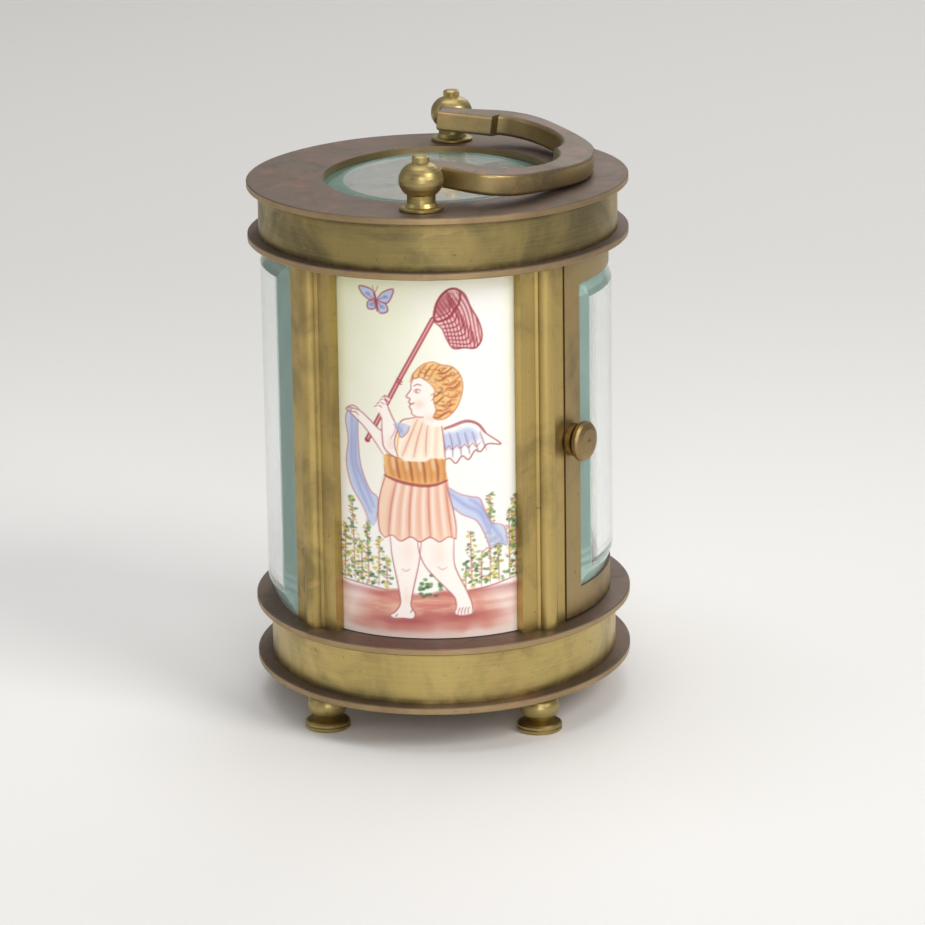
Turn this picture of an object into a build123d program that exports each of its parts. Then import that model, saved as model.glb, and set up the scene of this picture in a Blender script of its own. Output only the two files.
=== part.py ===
from build123d import *
import os
from math import atan2, cos, degrees, pi, radians, sin, sqrt, tan

# Oval carriage clock, millimetres. +Z is up, the feet stand on z = 0, and the dial faces -Y.
# The long axis of the oval runs along X, where the two painted porcelain panels are.

# ---- plan outline: an oval of two end arcs and two side arcs ----
half_length = 29.8
half_depth = 25.0
arc_join = 47.9              # angle of the normal, from the X axis, where an end arc meets a side arc

# ---- heights, from the feet up ----
foot_height = 5.25
flange_thickness = 0.9
base_band_height = 7.0
window_height = 48.05
cornice_band_height = 6.1

# ---- case walls, as insets from the outline ----
base_band_inset = 1.95
cornice_band_inset = 1.45
band_wall = 1.6
lower_flange_rim = 8.6       # width of the ring left around the opening in the cornice's lower flange
top_rim = 10.0               # width of the top plate around its glass

# ---- pillars: normal angles from the X axis and insets ----
pillar_start = 39.9
lip_end = 46.2
bead_angle = 50.8
bead_turn = 1.35             # from the bead's middle to the start of the flat beside it
pillar_end = 57.0
lip_inset = 3.1
front_flat_inset = 2.25      # the front pillars lap the glass
back_flat_inset = 2.8        # the back pillars leave room for the knob's collar
pillar_back_inset = 5.0
pillar_boss_radius = 1.45    # around the foot's stud
panel_lip_back_inset = 7.0
bead_radius = 1.35
bead_inset = 1.7

# ---- glass and porcelain ----
panel_inset = 4.5
panel_thickness = 1.6
front_glass_inset = 1.6
front_glass_thickness = 2.0
front_bevel_width = 2.7
front_bevel_drop = 1.1
groove_depth = 0.9
top_glass_drop = 0.45
top_glass_thickness = 1.9
top_bevel_width = 2.1
top_bevel_drop = 0.5
glass_lap = 0.7
seat_clearance = 0.1         # between glass or porcelain and the slot it stands in

# ---- back door ----
door_inset = 2.65
door_thickness = 2.5
door_gap = 0.18
stile_width = 3.5
rail_height = 3.6
door_glass_proud = 0.35
door_bevel_width = 2.1
door_lip = 0.4
door_glass_thickness = 2.0
door_groove = 0.8
hinge_radius = 1.25
hinge_pin_radius = 0.5
hinge_pin_length = 2.6

# ---- knob and latch ----
knob_setback = 1.75          # from the stile's edge to the knob's axis
knob_radius = 2.6
knob_collar_radius = 2.15
knob_neck_radius = 1.7
spindle_radius = 0.7
latch_length = 2.4
latch_width = 1.9
latch_thickness = 0.7

# ---- feet, finials and handle ----
foot_angle = 49.8            # of the feet's axes, inside the pillars
foot_inset = 4.16
foot_disc_radius = 2.95
foot_ball_radius = 2.6
foot_stud_radius = 0.8
cornice_screw_radius = 0.5
cornice_screw_head = 1.0
finial_setback = 5.5         # from the end of the outline to a finial's axis
ball_radius = 2.84
ball_half_height = 2.45
ball_height = 3.84           # of the ball's centre above the top plate
finial_stud_radius = 0.9
handle_thickness = 2.85
handle_tilt = 6.6            # below the horizontal when it lies on the plate
handle_eye_gap = 0.46        # between a ball and the handle's eye
pivot_cover = 0.9            # metal over the pin on an eye's inner face
handle_eye_length = 3.8
handle_reach = 20.6
handle_bar_width = 5.3       # of the loop at its middle
handle_drawn_width = 21.0    # half width that the loop's curve is drawn for
pivot_radius = 0.75

# ---- fits ----
running = 0.05               # radial clearance of a shaft that turns in a hole
seated = 0.03                # radial clearance of a screw, stud or pin that doesn't turn

# ---- dial and hands ----
dial_setback = 10.0          # from the front of the outline to the dial mask
mask_thickness = 0.6
dial_thickness = 0.8
dial_radius = 12.6
dial_hole_radius = 1.9
hour_hand_length = 7.0
minute_hand_length = 10.6

# ---- movement ----
plate_gap = 14.0             # between the front and back plates
plate_thickness = 1.4
plate_half_width = 12.5
plate_foot = 3.5             # height of the seat under the plates
plate_top_rise = 14.475      # of the plates above the centre arbor
motion_gap = 3.0             # between the dial mask and the front plate
barrel_teeth, centre_pinion_leaves, barrel_module = 72, 9, 0.25
centre_teeth, third_pinion_leaves, centre_module = 48, 6, 0.25
third_teeth, fourth_pinion_leaves, third_module = 45, 6, 0.22
contrate_teeth, escape_pinion_leaves, contrate_radius = 48, 6, 4.6
cannon_teeth, minute_teeth, cannon_module = 12, 36, 0.2
minute_pinion_leaves, hour_teeth = 10, 40
escape_teeth, escape_radius = 15, 2.9
balance_radius = 4.4
barrel_radius = 8.4
arbor_radius = 0.5
platform_thickness = 1.0
platform_half_width = 11.5
screw_radius = 0.5

# ---- worked out from the values above ----
spread = half_length - half_depth
slope = tan(radians(arc_join))
lead = spread * (slope - 1)
end_gain = (sqrt(lead ** 2 + 2 * slope * spread ** 2) - lead) / (2 * slope)
end_radius = half_depth - end_gain
end_centre = half_length - end_radius
side_centre = end_centre * slope
side_radius = half_depth + side_centre

base_z = foot_height
band_z = base_z + flange_thickness
floor_z = band_z + base_band_height
window_z = floor_z + flange_thickness
ceiling_z = window_z + window_height
cornice_z = ceiling_z + flange_thickness
plate_z = cornice_z + cornice_band_height
top_z = plate_z + flange_thickness
middle_z = (window_z + ceiling_z) / 2

mask_y = dial_setback - half_depth
front_plate_y = mask_y + mask_thickness + motion_gap
inner_y = front_plate_y + plate_thickness
back_plate_y = inner_y + plate_gap
outer_y = back_plate_y + plate_thickness
plate_bottom_z = window_z + plate_foot
plate_top_z = middle_z + plate_top_rise
plate_height = plate_top_z - plate_bottom_z

finial_x = half_length - finial_setback
handle_eye_outer = finial_x - ball_radius - handle_eye_gap
handle_eye_inner = handle_eye_outer - handle_eye_length
pivot_z = top_z + ball_height
ON_BASE = (Align.CENTER, Align.CENTER, Align.MIN)


# ---------------------------------------------------------------- drawing helpers

def station(angle, inset):
    """Point of the inset outline whose outward normal is at this angle."""
    turn = angle % 360
    quarter = min(turn % 180, 180 - turn % 180)
    if quarter <= arc_join:
        centre = Vector(end_centre if turn < 90 or turn > 270 else -end_centre, 0)
        radius = end_radius
    else:
        centre = Vector(0, -side_centre if turn < 180 else side_centre)
        radius = side_radius
    return centre + normal(angle) * (radius - inset)


def normal(angle):
    return Vector(cos(radians(angle)), sin(radians(angle)))


def run(start, end, inset):
    """Arcs of the inset outline from one normal angle to another."""
    joins = [half * 180 + side * arc_join for half in range(-2, 4) for side in (-1, 1)]
    stops = [start] + sorted(join for join in joins if start < join < end) + [end]
    return [ThreePointArc(station(a, inset), station((a + b) / 2, inset), station(b, inset))
            for a, b in zip(stops, stops[1:])]


def oval(inset):
    return make_face(run(0, 360, inset))


def band(start, end, outer, inner):
    """Strip of the plan between two normal angles and two insets."""
    ends = [Line(station(a, outer), station(a, inner)) for a in (start, end)]
    return make_face(run(start, end, outer) + run(start, end, inner) + ends)


def outline(points):
    return make_face(Polyline(*points, close=True))


def rise(face, low, high):
    """A plan raised between two heights."""
    return extrude(Pos(0, 0, low) * face, high - low, dir=(0, 0, 1))


def upright(face, front, back):
    """A drawing in X and Z thickened from one Y to another."""
    plane = Plane(origin=(0, front, 0), x_dir=(1, 0, 0), z_dir=(0, -1, 0))
    return extrude(plane * face, back - front, dir=(0, 1, 0))


def post(radius, x, y, low, high):
    return Pos(x, y, low) * Cylinder(radius, high - low, align=ON_BASE)


def arbor(radius, x, z, front, back):
    return Pos(x, front, z) * Rot(-90, 0, 0) * Cylinder(radius, back - front, align=ON_BASE)


def block(x0, x1, y0, y1, z0, z1):
    return Pos((x0 + x1) / 2, (y0 + y1) / 2, (z0 + z1) / 2) * Box(x1 - x0, y1 - y0, z1 - z0)


def turned(points):
    """Solid of revolution about Z from (radius, height) points."""
    profile = Plane.XZ * make_face(Polyline(*points, close=True))
    return revolve(profile, Axis.Z)


def screw(shank, length, head, head_height, slot=0.3):
    """Cheese-head screw along -Z, its head standing on z = 0."""
    body = Cylinder(head, head_height, align=ON_BASE)
    body = chamfer(body.edges().group_by(Axis.Z)[-1], head_height * 0.2)
    body -= Pos(0, 0, head_height) * Box(2 * head + 1, slot, head_height)
    return body + Pos(0, 0, -length) * Cylinder(shank, length + 0.01, align=ON_BASE)


def circle_points(centre, radius, angles):
    return [(centre[0] + radius * cos(radians(a)), centre[1] + radius * sin(radians(a))) for a in angles]


def gear(teeth, pitch, phase, tip, root, root_share, tip_share):
    """Toothed disc at the origin, with a tooth centred on the phase angle."""
    step = 360 / teeth
    points = []
    for index in range(teeth):
        centre = phase + index * step
        points += circle_points((0, 0), pitch - root, [centre - root_share * step])
        points += circle_points((0, 0), pitch + tip, [centre - tip_share * step, centre + tip_share * step])
        points += circle_points((0, 0), pitch - root, [centre + root_share * step])
    return outline(points)


def wheel_face(teeth, module, phase):
    return gear(teeth, teeth * module / 2, phase, 0.8 * module, 1.2 * module, 0.22, 0.07)


def pinion_face(leaves, module, phase):
    return gear(leaves, leaves * module / 2, phase, 0.7 * module, 1.3 * module, 0.12, 0.10)


def crossed(face, rim, hub, arms, arm_width, phase=0):
    """A wheel's face with its web cut away between a rim and a hub, apart from the arms."""
    web = Circle(rim) - Circle(hub)
    for index in range(arms):
        arm = Rot(0, 0, phase + index * 360 / arms)
        web -= arm * Pos(rim / 2, 0) * Rectangle(rim + 1, arm_width)
    return face - web


def spiral(inner, outer, turns, thickness, steps=20):
    """Flat spring coil."""
    count = int(turns * steps)
    inside, outside = [], []
    for index in range(count + 1):
        radius = inner + (outer - inner) * index / count
        angle = 360 * index / steps
        inside += circle_points((0, 0), radius, [angle])
        outside += circle_points((0, 0), radius + thickness, [angle])
    return outline(inside + outside[::-1])


# ---------------------------------------------------------------- case

def quarter_points(x, y):
    return {"front_left": (-x, -y), "front_right": (x, -y), "back_left": (-x, y), "back_right": (x, y)}


foot_x, foot_y = station(foot_angle, foot_inset).X, station(foot_angle, foot_inset).Y


def stud_holes(radius, low, high):
    return [post(radius, x, y, low, high) for x, y in quarter_points(foot_x, foot_y).values()]


def hinge_point():
    """The door's hinge axis, set in from the outer face and the edge of the left stile."""
    edge = side_radius - door_inset - hinge_radius
    turn = radians(180 - pillar_end) - (hinge_radius + door_gap) / edge
    return Vector(edge * cos(turn), edge * sin(turn) - side_centre)


seat_bolts = [(x, y) for x in (-9.0, 9.0) for y in (front_plate_y + 4, back_plate_y - 3)]


def base():
    plates = {
        "base_bottom_flange": rise(oval(0), base_z, band_z),
        "base_band": rise(oval(base_band_inset) - oval(base_band_inset + band_wall), band_z, floor_z),
        "base_top_flange": rise(oval(0), floor_z, window_z),
    }
    hinge = hinge_point()
    for name in ("base_bottom_flange", "base_top_flange"):
        plates[name] = chamfer_rim(plates[name])
    for name in plates:
        for hole in stud_holes(foot_stud_radius + seated, base_z - 1, window_z + 1):
            plates[name] -= hole
    plates["base_top_flange"] -= post(hinge_pin_radius + running, hinge.X, hinge.Y, floor_z - 1, window_z + 1)
    for x, y in seat_bolts:
        plates["base_top_flange"] -= post(screw_radius + seated, x, y, floor_z - 1, window_z + 1)
    plates["base_bottom_flange"] -= rise(oval(lower_flange_rim + 3), base_z - 1, band_z + 1)
    return plates


def chamfer_rim(plate):
    """Ease the outer edge of a flange."""
    edges = [edge for edge in plate.edges() if edge.length > end_radius * 0.5]
    return chamfer(edges, 0.12)


def foot(x, y):
    """Turned foot: a grooved disc, a ball and a stud that screws up into the pillar."""
    disc = 1.15
    groove = 0.12
    profile = [(0, 0), (foot_disc_radius - 0.2, 0), (foot_disc_radius, 0.2),
               (foot_disc_radius, disc / 2 - 0.1),
               (foot_disc_radius - groove, disc / 2), (foot_disc_radius, disc / 2 + 0.1),
               (foot_disc_radius, disc - 0.2), (foot_disc_radius - 0.2, disc), (1.9, disc + 0.1)]
    centre = (disc + foot_height) / 2
    half = (foot_height - disc) / 2
    for angle in range(-55, 56, 10):
        profile.append((foot_ball_radius * cos(radians(angle)), centre + half * sin(radians(angle)) * 1.08))
    stud_top = window_z + 5
    profile += [(1.9, foot_height), (foot_stud_radius, foot_height),
                (foot_stud_radius, stud_top), (0, stud_top)]
    return Pos(x, y, 0) * turned(profile)


def pillar_face(front):
    """Section of the pillar in the +X +Y quarter: panel groove, bead, flat and back rebate."""
    strip = band(pillar_start, lip_end + 0.7, lip_inset, panel_lip_back_inset)
    strip -= band(pillar_start - 1, lip_end, panel_inset - seat_clearance,
                  panel_inset + panel_thickness + seat_clearance)
    flat_inset = front_flat_inset if front else back_flat_inset
    body = band(lip_end + 0.7, pillar_end, lip_inset + 0.6, pillar_back_inset)
    flat = band(bead_angle + bead_turn, pillar_end, flat_inset, pillar_back_inset)
    bead = Pos(*station(bead_angle, bead_inset + bead_radius)) * Circle(bead_radius)
    boss = Pos(foot_x, foot_y) * Circle(pillar_boss_radius)
    section = strip + body + flat + bead + boss
    if front:
        reach = degrees(groove_depth / (side_radius - front_glass_inset))
        glass_back = front_glass_inset + front_glass_thickness
        section -= band(pillar_end - reach, pillar_end + 1,
                        front_glass_inset + front_bevel_drop - seat_clearance, glass_back + seat_clearance)
    return section


def pillar(side, front):
    """One pillar of the four, with a hole for the foot's stud and one for the cornice screw."""
    solid = rise(pillar_face(front), window_z, ceiling_z)
    solid -= post(foot_stud_radius + seated, foot_x, foot_y, window_z - 1, window_z + 5.5)
    x, y = cornice_screws_at()[-1]
    solid -= post(cornice_screw_radius + seated, x, y, ceiling_z - 5, ceiling_z + 1)
    if side < 0:
        solid = mirror(solid, Plane.YZ)
    return mirror(solid, Plane.XZ) if front else solid


def panel(side):
    """Curved porcelain plate held in the grooves of two pillars."""
    half = lip_end - degrees(seat_clearance / (end_radius - panel_inset))
    face = band(-half, half, panel_inset, panel_inset + panel_thickness)
    solid = rise(face, window_z + seat_clearance, ceiling_z - seat_clearance)
    return solid if side > 0 else mirror(solid, Plane.YZ)


def bevelled_pane(half_angle, outer, thickness, low, high, bevel, drop, side_lap, rail_lap):
    """Curved pane on the back side arc, bevelled on four edges inside a plain lap for its slots."""
    radius = side_radius - outer
    inner = radius - thickness
    start, end = 90 - half_angle, 90 + half_angle
    bevel_turn = degrees((bevel + side_lap) / radius)
    lap_turn = degrees(side_lap / radius)
    plan_outer = ThreePointArc(station(start + bevel_turn, outer), station(90, outer),
                               station(end - bevel_turn, outer))
    plan_inner = ThreePointArc(station(start, outer + thickness), station(90, outer + thickness),
                               station(end, outer + thickness))
    edges = [plan_outer, plan_inner]
    for edge, sign in ((start, 1), (end, -1)):
        shoulder = edge + sign * lap_turn
        edges.append(Line(station(edge + sign * bevel_turn, outer), station(shoulder, outer + drop)))
        edges.append(Line(station(shoulder, outer + drop), station(edge, outer + drop)))
        edges.append(Line(station(edge, outer + drop), station(edge, outer + thickness)))
    plan = rise(make_face(edges), low, high)
    profile = [(inner - 1, low), (radius - drop, low)]
    profile += [(radius - drop, low + rail_lap)] if rail_lap else []
    profile += [(radius, low + rail_lap + bevel), (radius, high - rail_lap - bevel)]
    profile += [(radius - drop, high - rail_lap)] if rail_lap else []
    profile += [(radius - drop, high), (inner - 1, high)]
    return plan & Pos(0, -side_centre, 0) * turned(profile)


def front_glass():
    reach = degrees((groove_depth - seat_clearance) / (side_radius - front_glass_inset))
    pane = bevelled_pane(90 - pillar_end + reach, front_glass_inset, front_glass_thickness,
                         window_z + seat_clearance, ceiling_z - seat_clearance,
                         front_bevel_width, front_bevel_drop, groove_depth, 0)
    return mirror(pane, Plane.XZ)


def cornice():
    lower = rise(oval(0), ceiling_z, cornice_z)
    lower = chamfer_rim(lower) - rise(oval(lower_flange_rim), ceiling_z - 1, cornice_z + 1)
    for x, y in cornice_screws_at():
        lower -= post(cornice_screw_radius + seated, x, y, ceiling_z - 1, cornice_z + 1)
    hinge = hinge_point()
    lower -= post(hinge_pin_radius + running, hinge.X, hinge.Y, ceiling_z - 1, cornice_z + 1)
    wall_inset = cornice_band_inset + band_wall
    wall = rise(oval(cornice_band_inset) - oval(wall_inset), cornice_z, plate_z)
    for side in (-1, 1):
        near, far = sorted((side * (finial_x - 2.2), side * (half_length - wall_inset + 0.3)))
        wall += block(near, far, -2.4, 2.4, cornice_z, plate_z)
        wall -= post(finial_stud_radius + seated, side * finial_x, 0, cornice_z + 0.8, plate_z + 1)
    top = chamfer_rim(rise(oval(0), plate_z, top_z))
    top -= rise(oval(top_rim), plate_z - 1, top_z + 1)
    for side in (-1, 1):
        top -= post(finial_stud_radius + seated, side * finial_x, 0, plate_z - 1, top_z + 1)
    return {"cornice_lower_flange": lower, "cornice_band": wall, "top_plate": top}


def top_glass():
    """Oval pane under the top plate, its bevel rising through the opening."""
    face_z = top_z - top_glass_drop
    edge = oval(top_rim - glass_lap)
    flat_inset_here = top_rim + top_bevel_width
    ledge = plate_z - seat_clearance / 2
    body = rise(edge, face_z - top_glass_thickness, ledge)
    sections = [Pos(0, 0, ledge) * oval(top_rim + 0.15), Pos(0, 0, face_z) * oval(flat_inset_here)]
    crown = loft(sections, ruled=True)
    return body + crown


def top_glass_retainer():
    """Ring soldered under the top plate, with a ledge that carries the glass."""
    under = top_z - top_glass_drop - top_glass_thickness
    seat = top_rim - glass_lap
    ring = rise(oval(seat - 1.2) - oval(seat - seat_clearance), under - 0.6, plate_z)
    ledge = rise(oval(seat - 0.6) - oval(top_rim + 0.4), under - 0.6, under)
    return ring + ledge


def cornice_screws_at():
    """Screw places on the pillars, clear of the cornice band; the last one is at +X +Y."""
    spot = station(bead_angle, cornice_band_inset + band_wall + cornice_screw_head + 0.15)
    return list(quarter_points(spot.X, spot.Y).values())


def cornice_screws():
    """Four screws from inside the cornice into the pillar tops."""
    one = screw(cornice_screw_radius, 4.5, cornice_screw_head, 0.8)
    return Compound([Pos(x, y, cornice_z) * one for x, y in cornice_screws_at()])


def finial(side):
    """Turned ball finial with a stud below and a cross hole for the handle's pivot pin."""
    profile = [(0, 0), (2.6, 0), (2.8, 0.12), (2.8, 0.38), (2.6, 0.5), (2.05, 0.55), (1.82, 1.0), (1.8, 1.5)]
    for angle in range(-50, 51, 10):
        rise_here = ball_half_height * sin(radians(angle))
        profile.append((ball_radius * cos(radians(angle)), ball_height + rise_here))
    profile += [(1.1, ball_height + ball_half_height * 0.9), (1.1, 6.75), (0.85, 6.95), (0, 6.95)]
    stud = plate_z - cornice_z - 1.2
    solid = turned(profile) + Pos(0, 0, -flange_thickness - stud) * Cylinder(
        finial_stud_radius, flange_thickness + stud + 0.1, align=ON_BASE)
    hole = Pos(0, 0, ball_height) * Rot(0, -90 * side, 0) * Cylinder(pivot_radius + seated, ball_radius + 1,
                                                                       align=ON_BASE)
    return Pos(side * finial_x, 0, top_z) * (solid - hole)


def handle():
    """Flat loop with two square eyes. Drawn in X and reach, then laid back onto the plate."""
    wide = handle_eye_outer / handle_drawn_width
    middle = handle_reach - handle_bar_width
    eye_x = handle_eye_outer
    inner = Spline((eye_x - 2.3, 6.7), (eye_x - 2.5, 8.4), (15.8 * wide, middle - 3.5),
                   (9.7 * wide, middle - 0.1), (4.6 * wide, middle + 0.7), (0, middle))
    outer = Spline((0, handle_reach), (5.5 * wide, handle_reach - 0.5), (12.2 * wide, handle_reach - 3.1),
                   (17.6 * wide, handle_reach - 6.1), (eye_x + 0.6, handle_reach - 9.4), (eye_x + 1.8, 8.0),
                   (eye_x + 1.0, 4.8), (eye_x, 2.2))
    end = -handle_thickness / 2
    face = make_face([
        inner, Line((0, middle), (0, handle_reach)), outer,
        Polyline((eye_x, 2.2), (eye_x, end), (handle_eye_inner, end), (handle_eye_inner, 5.9),
                 (eye_x - 2.3, 6.7)),
    ])
    half = rise(face, -handle_thickness / 2, handle_thickness / 2)
    half = fillet([e for e in half.edges() if abs(abs(e.center().Z) - handle_thickness / 2) < 0.01
                   and e.length > 2 and e.center().X > 0.1], 0.5)
    bore = Rot(0, 90, 0) * Cylinder(pivot_radius + running, handle_eye_length, align=ON_BASE)
    half -= Pos(handle_eye_inner + pivot_cover, 0, 0) * bore
    loop = half + mirror(half, Plane.YZ)
    return Pos(0, 0, pivot_z) * Rot(-handle_tilt, 0, 0) * loop


def handle_pivot_pins():
    """Pins pressed into the finials, on which the handle's eyes turn."""
    inner = handle_eye_inner + pivot_cover + seat_clearance
    one = Rot(0, 90, 0) * Cylinder(pivot_radius, finial_x - 0.6 - inner, align=ON_BASE)
    pin = Pos(inner, 0, pivot_z) * one
    return Compound([pin, mirror(pin, Plane.YZ)])


# ---------------------------------------------------------------- door

door_low = window_z + door_gap
door_high = ceiling_z - door_gap


def door_half_angle():
    return 90 - pillar_end - degrees(door_gap / (side_radius - door_inset))


def door_frame():
    """Curved frame with a glass groove, a round hinge edge and a spindle hole."""
    half = door_half_angle()
    radius = side_radius - door_inset
    back = door_inset + door_thickness
    hinge = hinge_point()
    hinge_turn = degrees(atan2(hinge.Y + side_centre, hinge.X))
    body = band(90 - half, hinge_turn, door_inset, back) + Pos(hinge.X, hinge.Y) * Circle(hinge_radius)
    frame = rise(body, door_low, door_high)
    window = half - degrees(stile_width / radius)
    frame -= rise(band(90 - window, 90 + window, 0, back + 3),
                  door_low + rail_height, door_high - rail_height)
    groove = window + degrees(door_groove / radius)
    frame -= rise(band(90 - groove, 90 + groove, door_inset + door_lip, door_glass_back() + seat_clearance),
                  door_low + rail_height - door_groove, door_high - rail_height + door_groove)
    for low in (door_low - 1, door_high - hinge_pin_length):
        frame -= post(hinge_pin_radius + seated, hinge.X, hinge.Y, low, low + hinge_pin_length + 1)
    spot = knob_plane(back + 1)
    return frame - spot * Cylinder(spindle_radius + running, 2 * door_thickness + 2)


def door_glass_back():
    return door_inset - door_glass_proud + door_glass_thickness


def door_glass():
    radius = side_radius - door_inset
    lap = door_groove - seat_clearance
    half = door_half_angle() - degrees((stile_width - lap) / radius)
    drop = door_glass_proud + door_lip + seat_clearance / 2
    return bevelled_pane(half, door_inset - door_glass_proud, door_glass_thickness,
                         door_low + rail_height - lap, door_high - rail_height + lap,
                         door_bevel_width, drop, lap, lap)


def door_hinge_pins():
    hinge = hinge_point()
    reach = door_gap + 0.8 * flange_thickness
    low = post(hinge_pin_radius, hinge.X, hinge.Y, door_low - reach, door_low + hinge_pin_length - 0.2)
    high = post(hinge_pin_radius, hinge.X, hinge.Y, door_high - hinge_pin_length + 0.2, door_high + reach)
    return Compound([low, high])


def knob_plane(inset):
    """Plane at mid height whose normal is the knob's axis."""
    angle = 90 - door_half_angle() + degrees(knob_setback / (side_radius - door_inset))
    spot = station(angle, inset)
    return Plane(origin=(spot.X, spot.Y, middle_z), z_dir=normal(angle))


def door_knob():
    """Round knob on a collar, with a spindle through the stile."""
    low = running
    profile = [(0, low), (knob_collar_radius, low), (knob_collar_radius, low + 0.7),
               (knob_neck_radius, low + 0.85), (knob_neck_radius, low + 1.15),
               (knob_radius - 0.15, low + 1.2), (knob_radius, low + 1.35),
               (knob_radius, low + 1.8), (knob_radius - 0.25, low + 2.1), (1.6, low + 2.35), (0, low + 2.45)]
    spindle = door_thickness + 2 * running + 2 * latch_thickness
    return knob_plane(door_inset) * (turned(profile) + Pos(0, 0, -spindle) * Cylinder(
        spindle_radius, spindle + running + 0.1, align=ON_BASE))


def latch_finger():
    """Turning finger behind the stile, fixed on the knob's spindle."""
    plane = knob_plane(door_inset + door_thickness + 0.25 + latch_thickness)
    face = Circle(latch_width / 2 + 0.25)
    plan = Plane(origin=plane.origin, x_dir=(0, 0, 1), z_dir=plane.z_dir)
    face += Pos(latch_length / 2, 0) * Rectangle(latch_length, latch_width)
    face += Pos(latch_length, 0) * Circle(latch_width / 2)
    face -= Circle(spindle_radius + seated)
    return extrude(plan * face, latch_thickness, dir=plane.z_dir)


# ---------------------------------------------------------------- dial and hands

def dial_posts_at():
    return [(x, z) for x in (-10.5, 10.5) for z in (plate_bottom_z + 2.0, plate_top_z - 2.0)]


def dial_mask():
    """Gilt plate behind the front glass that carries the dial."""
    half = station(pillar_end, pillar_back_inset).X - 0.25
    face = Pos(0, middle_z) * (Rectangle(2 * half, window_height - 1.0) - Circle(dial_hole_radius))
    return upright(face, mask_y, mask_y + mask_thickness)


def dial():
    """Slightly domed enamel disc with a centre hole."""
    low, high = 0, dial_thickness
    profile = [(dial_hole_radius, low), (dial_radius, low), (dial_radius, high - 0.35),
               (dial_radius - 0.5, high - 0.1), (dial_hole_radius, high)]
    return Pos(0, mask_y, middle_z) * Rot(90, 0, 0) * turned(profile)


def dial_posts():
    """Four posts between the dial mask and the front plate."""
    return Compound([arbor(1.0, x, z, mask_y + mask_thickness, front_plate_y) for x, z in dial_posts_at()])


cannon_pitch = cannon_teeth * cannon_module / 2
minute_distance = (cannon_teeth + minute_teeth) * cannon_module / 2
hour_module = 2 * minute_distance / (minute_pinion_leaves + hour_teeth)
minute_angle = 215.0         # direction from the centre to the minute wheel's stud
hour_hand_y = mask_y - dial_thickness - 1.6
minute_hand_y = hour_hand_y - 1.1
pipe_radius = 0.85
hour_pipe_radius = 1.35


def spade_hand(length, width, collet, tilt):
    """Hand that points up, turned by tilt: a collet, a shank, a spade and a point."""
    neck, widest = 0.58 * length, 0.74 * length
    leaf = [(-0.28, 0), (-0.2, neck), (-width * 0.55, neck + 0.35), (-width, widest),
            (-width * 0.5, widest + 0.9), (-0.12, widest + 1.5), (0, length)]
    points = leaf + [(-x, y) for x, y in leaf[:-1]][::-1]
    return Rot(0, 0, tilt) * (outline(points) + Circle(collet))


def hour_hand():
    face = spade_hand(hour_hand_length, 1.15, 1.7, -305.0) - Circle(hour_pipe_radius + seated)
    return upright(Pos(0, middle_z) * face, hour_hand_y, hour_hand_y + 0.35)


def minute_hand():
    face = spade_hand(minute_hand_length, 0.75, 1.35, -60.0) - Circle(pipe_radius + seated)
    return upright(Pos(0, middle_z) * face, minute_hand_y, minute_hand_y + 0.3)


def hand_nut():
    ring = Circle(1.05) - Circle(arbor_radius + seated)
    return upright(Pos(0, middle_z) * ring, minute_hand_y - 0.55, minute_hand_y - 0.05)


# ---------------------------------------------------------------- train positions

def mesh_phase(angle_to_mate, teeth, gap):
    """Phase that puts a tooth, or a gap, on the line of centres."""
    return angle_to_mate + (180 / teeth if gap else 0)


barrel_distance = (barrel_teeth + centre_pinion_leaves) * barrel_module / 2
third_distance = (centre_teeth + third_pinion_leaves) * centre_module / 2
fourth_distance = (third_teeth + fourth_pinion_leaves) * third_module / 2
third_angle = 35.0
fourth_angle = 143.8
centre_at = (0.0, middle_z)
barrel_at = (0.0, middle_z - barrel_distance)
third_at = circle_points(centre_at, third_distance, [third_angle])[0]
fourth_at = circle_points(third_at, fourth_distance, [fourth_angle])[0]
minute_at = circle_points(centre_at, minute_distance, [minute_angle])[0]
contrate_pitch = 2 * pi * contrate_radius / contrate_teeth
escape_pinion_radius = contrate_pitch * escape_pinion_leaves / (2 * pi)
contrate_y = inner_y + 7.0
contrate_tooth = 0.52
escape_at = (fourth_at[0], contrate_y - contrate_tooth / 2 - 0.04 - escape_pinion_radius)
lever_at = (escape_at[0] - 3.8, escape_at[1] + 0.68)
balance_at = (lever_at[0] - 3.8, lever_at[1] + 0.7)
platform_z = plate_top_z + platform_thickness
barrel_back_y = inner_y + 10.4
centre_wheel_y = inner_y + 11.4
third_wheel_y = inner_y + 3.0


def movement_plate(front):
    """One of the two plates, pierced for its arbors and pillars."""
    y = front_plate_y if front else back_plate_y
    face = Pos(0, (plate_bottom_z + plate_top_z) / 2) * Rectangle(2 * plate_half_width, plate_height)
    face = fillet(face.vertices(), 1.2)
    holes = [(centre_at, 0.7 if front else arbor_radius), (barrel_at, 1.0), (third_at, 0.3), (fourth_at, 0.3)]
    for (x, z), radius in holes:
        face -= Pos(x, z) * Circle(radius + running)
    if not front:
        for x, z in movement_pillars_at():
            face -= Pos(x, z) * Circle(screw_radius + seated)
    plate = upright(face, y, y + plate_thickness)
    for x in (-platform_screw_x, platform_screw_x):
        plate -= post(0.45 + seated, x, y + plate_thickness / 2, plate_top_z - 3.2, plate_top_z + 1)
    if front:
        plate += arbor(0.45, *minute_at, front_plate_y - motion_gap + 0.5, front_plate_y + 0.2)
    else:
        x, z = click_at()
        plate += arbor(0.5, x, z, outer_y - 0.2, outer_y + 1.5)
        sx, sz = click_spring_root()
        plate -= arbor(0.4 + seated, sx, sz, back_plate_y - 1, outer_y + 1)
    return plate


def movement_pillars_at():
    return [(x, z) for x in (-10.6, 10.6) for z in (plate_bottom_z + 2.0, plate_top_z - 4.2)]


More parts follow.
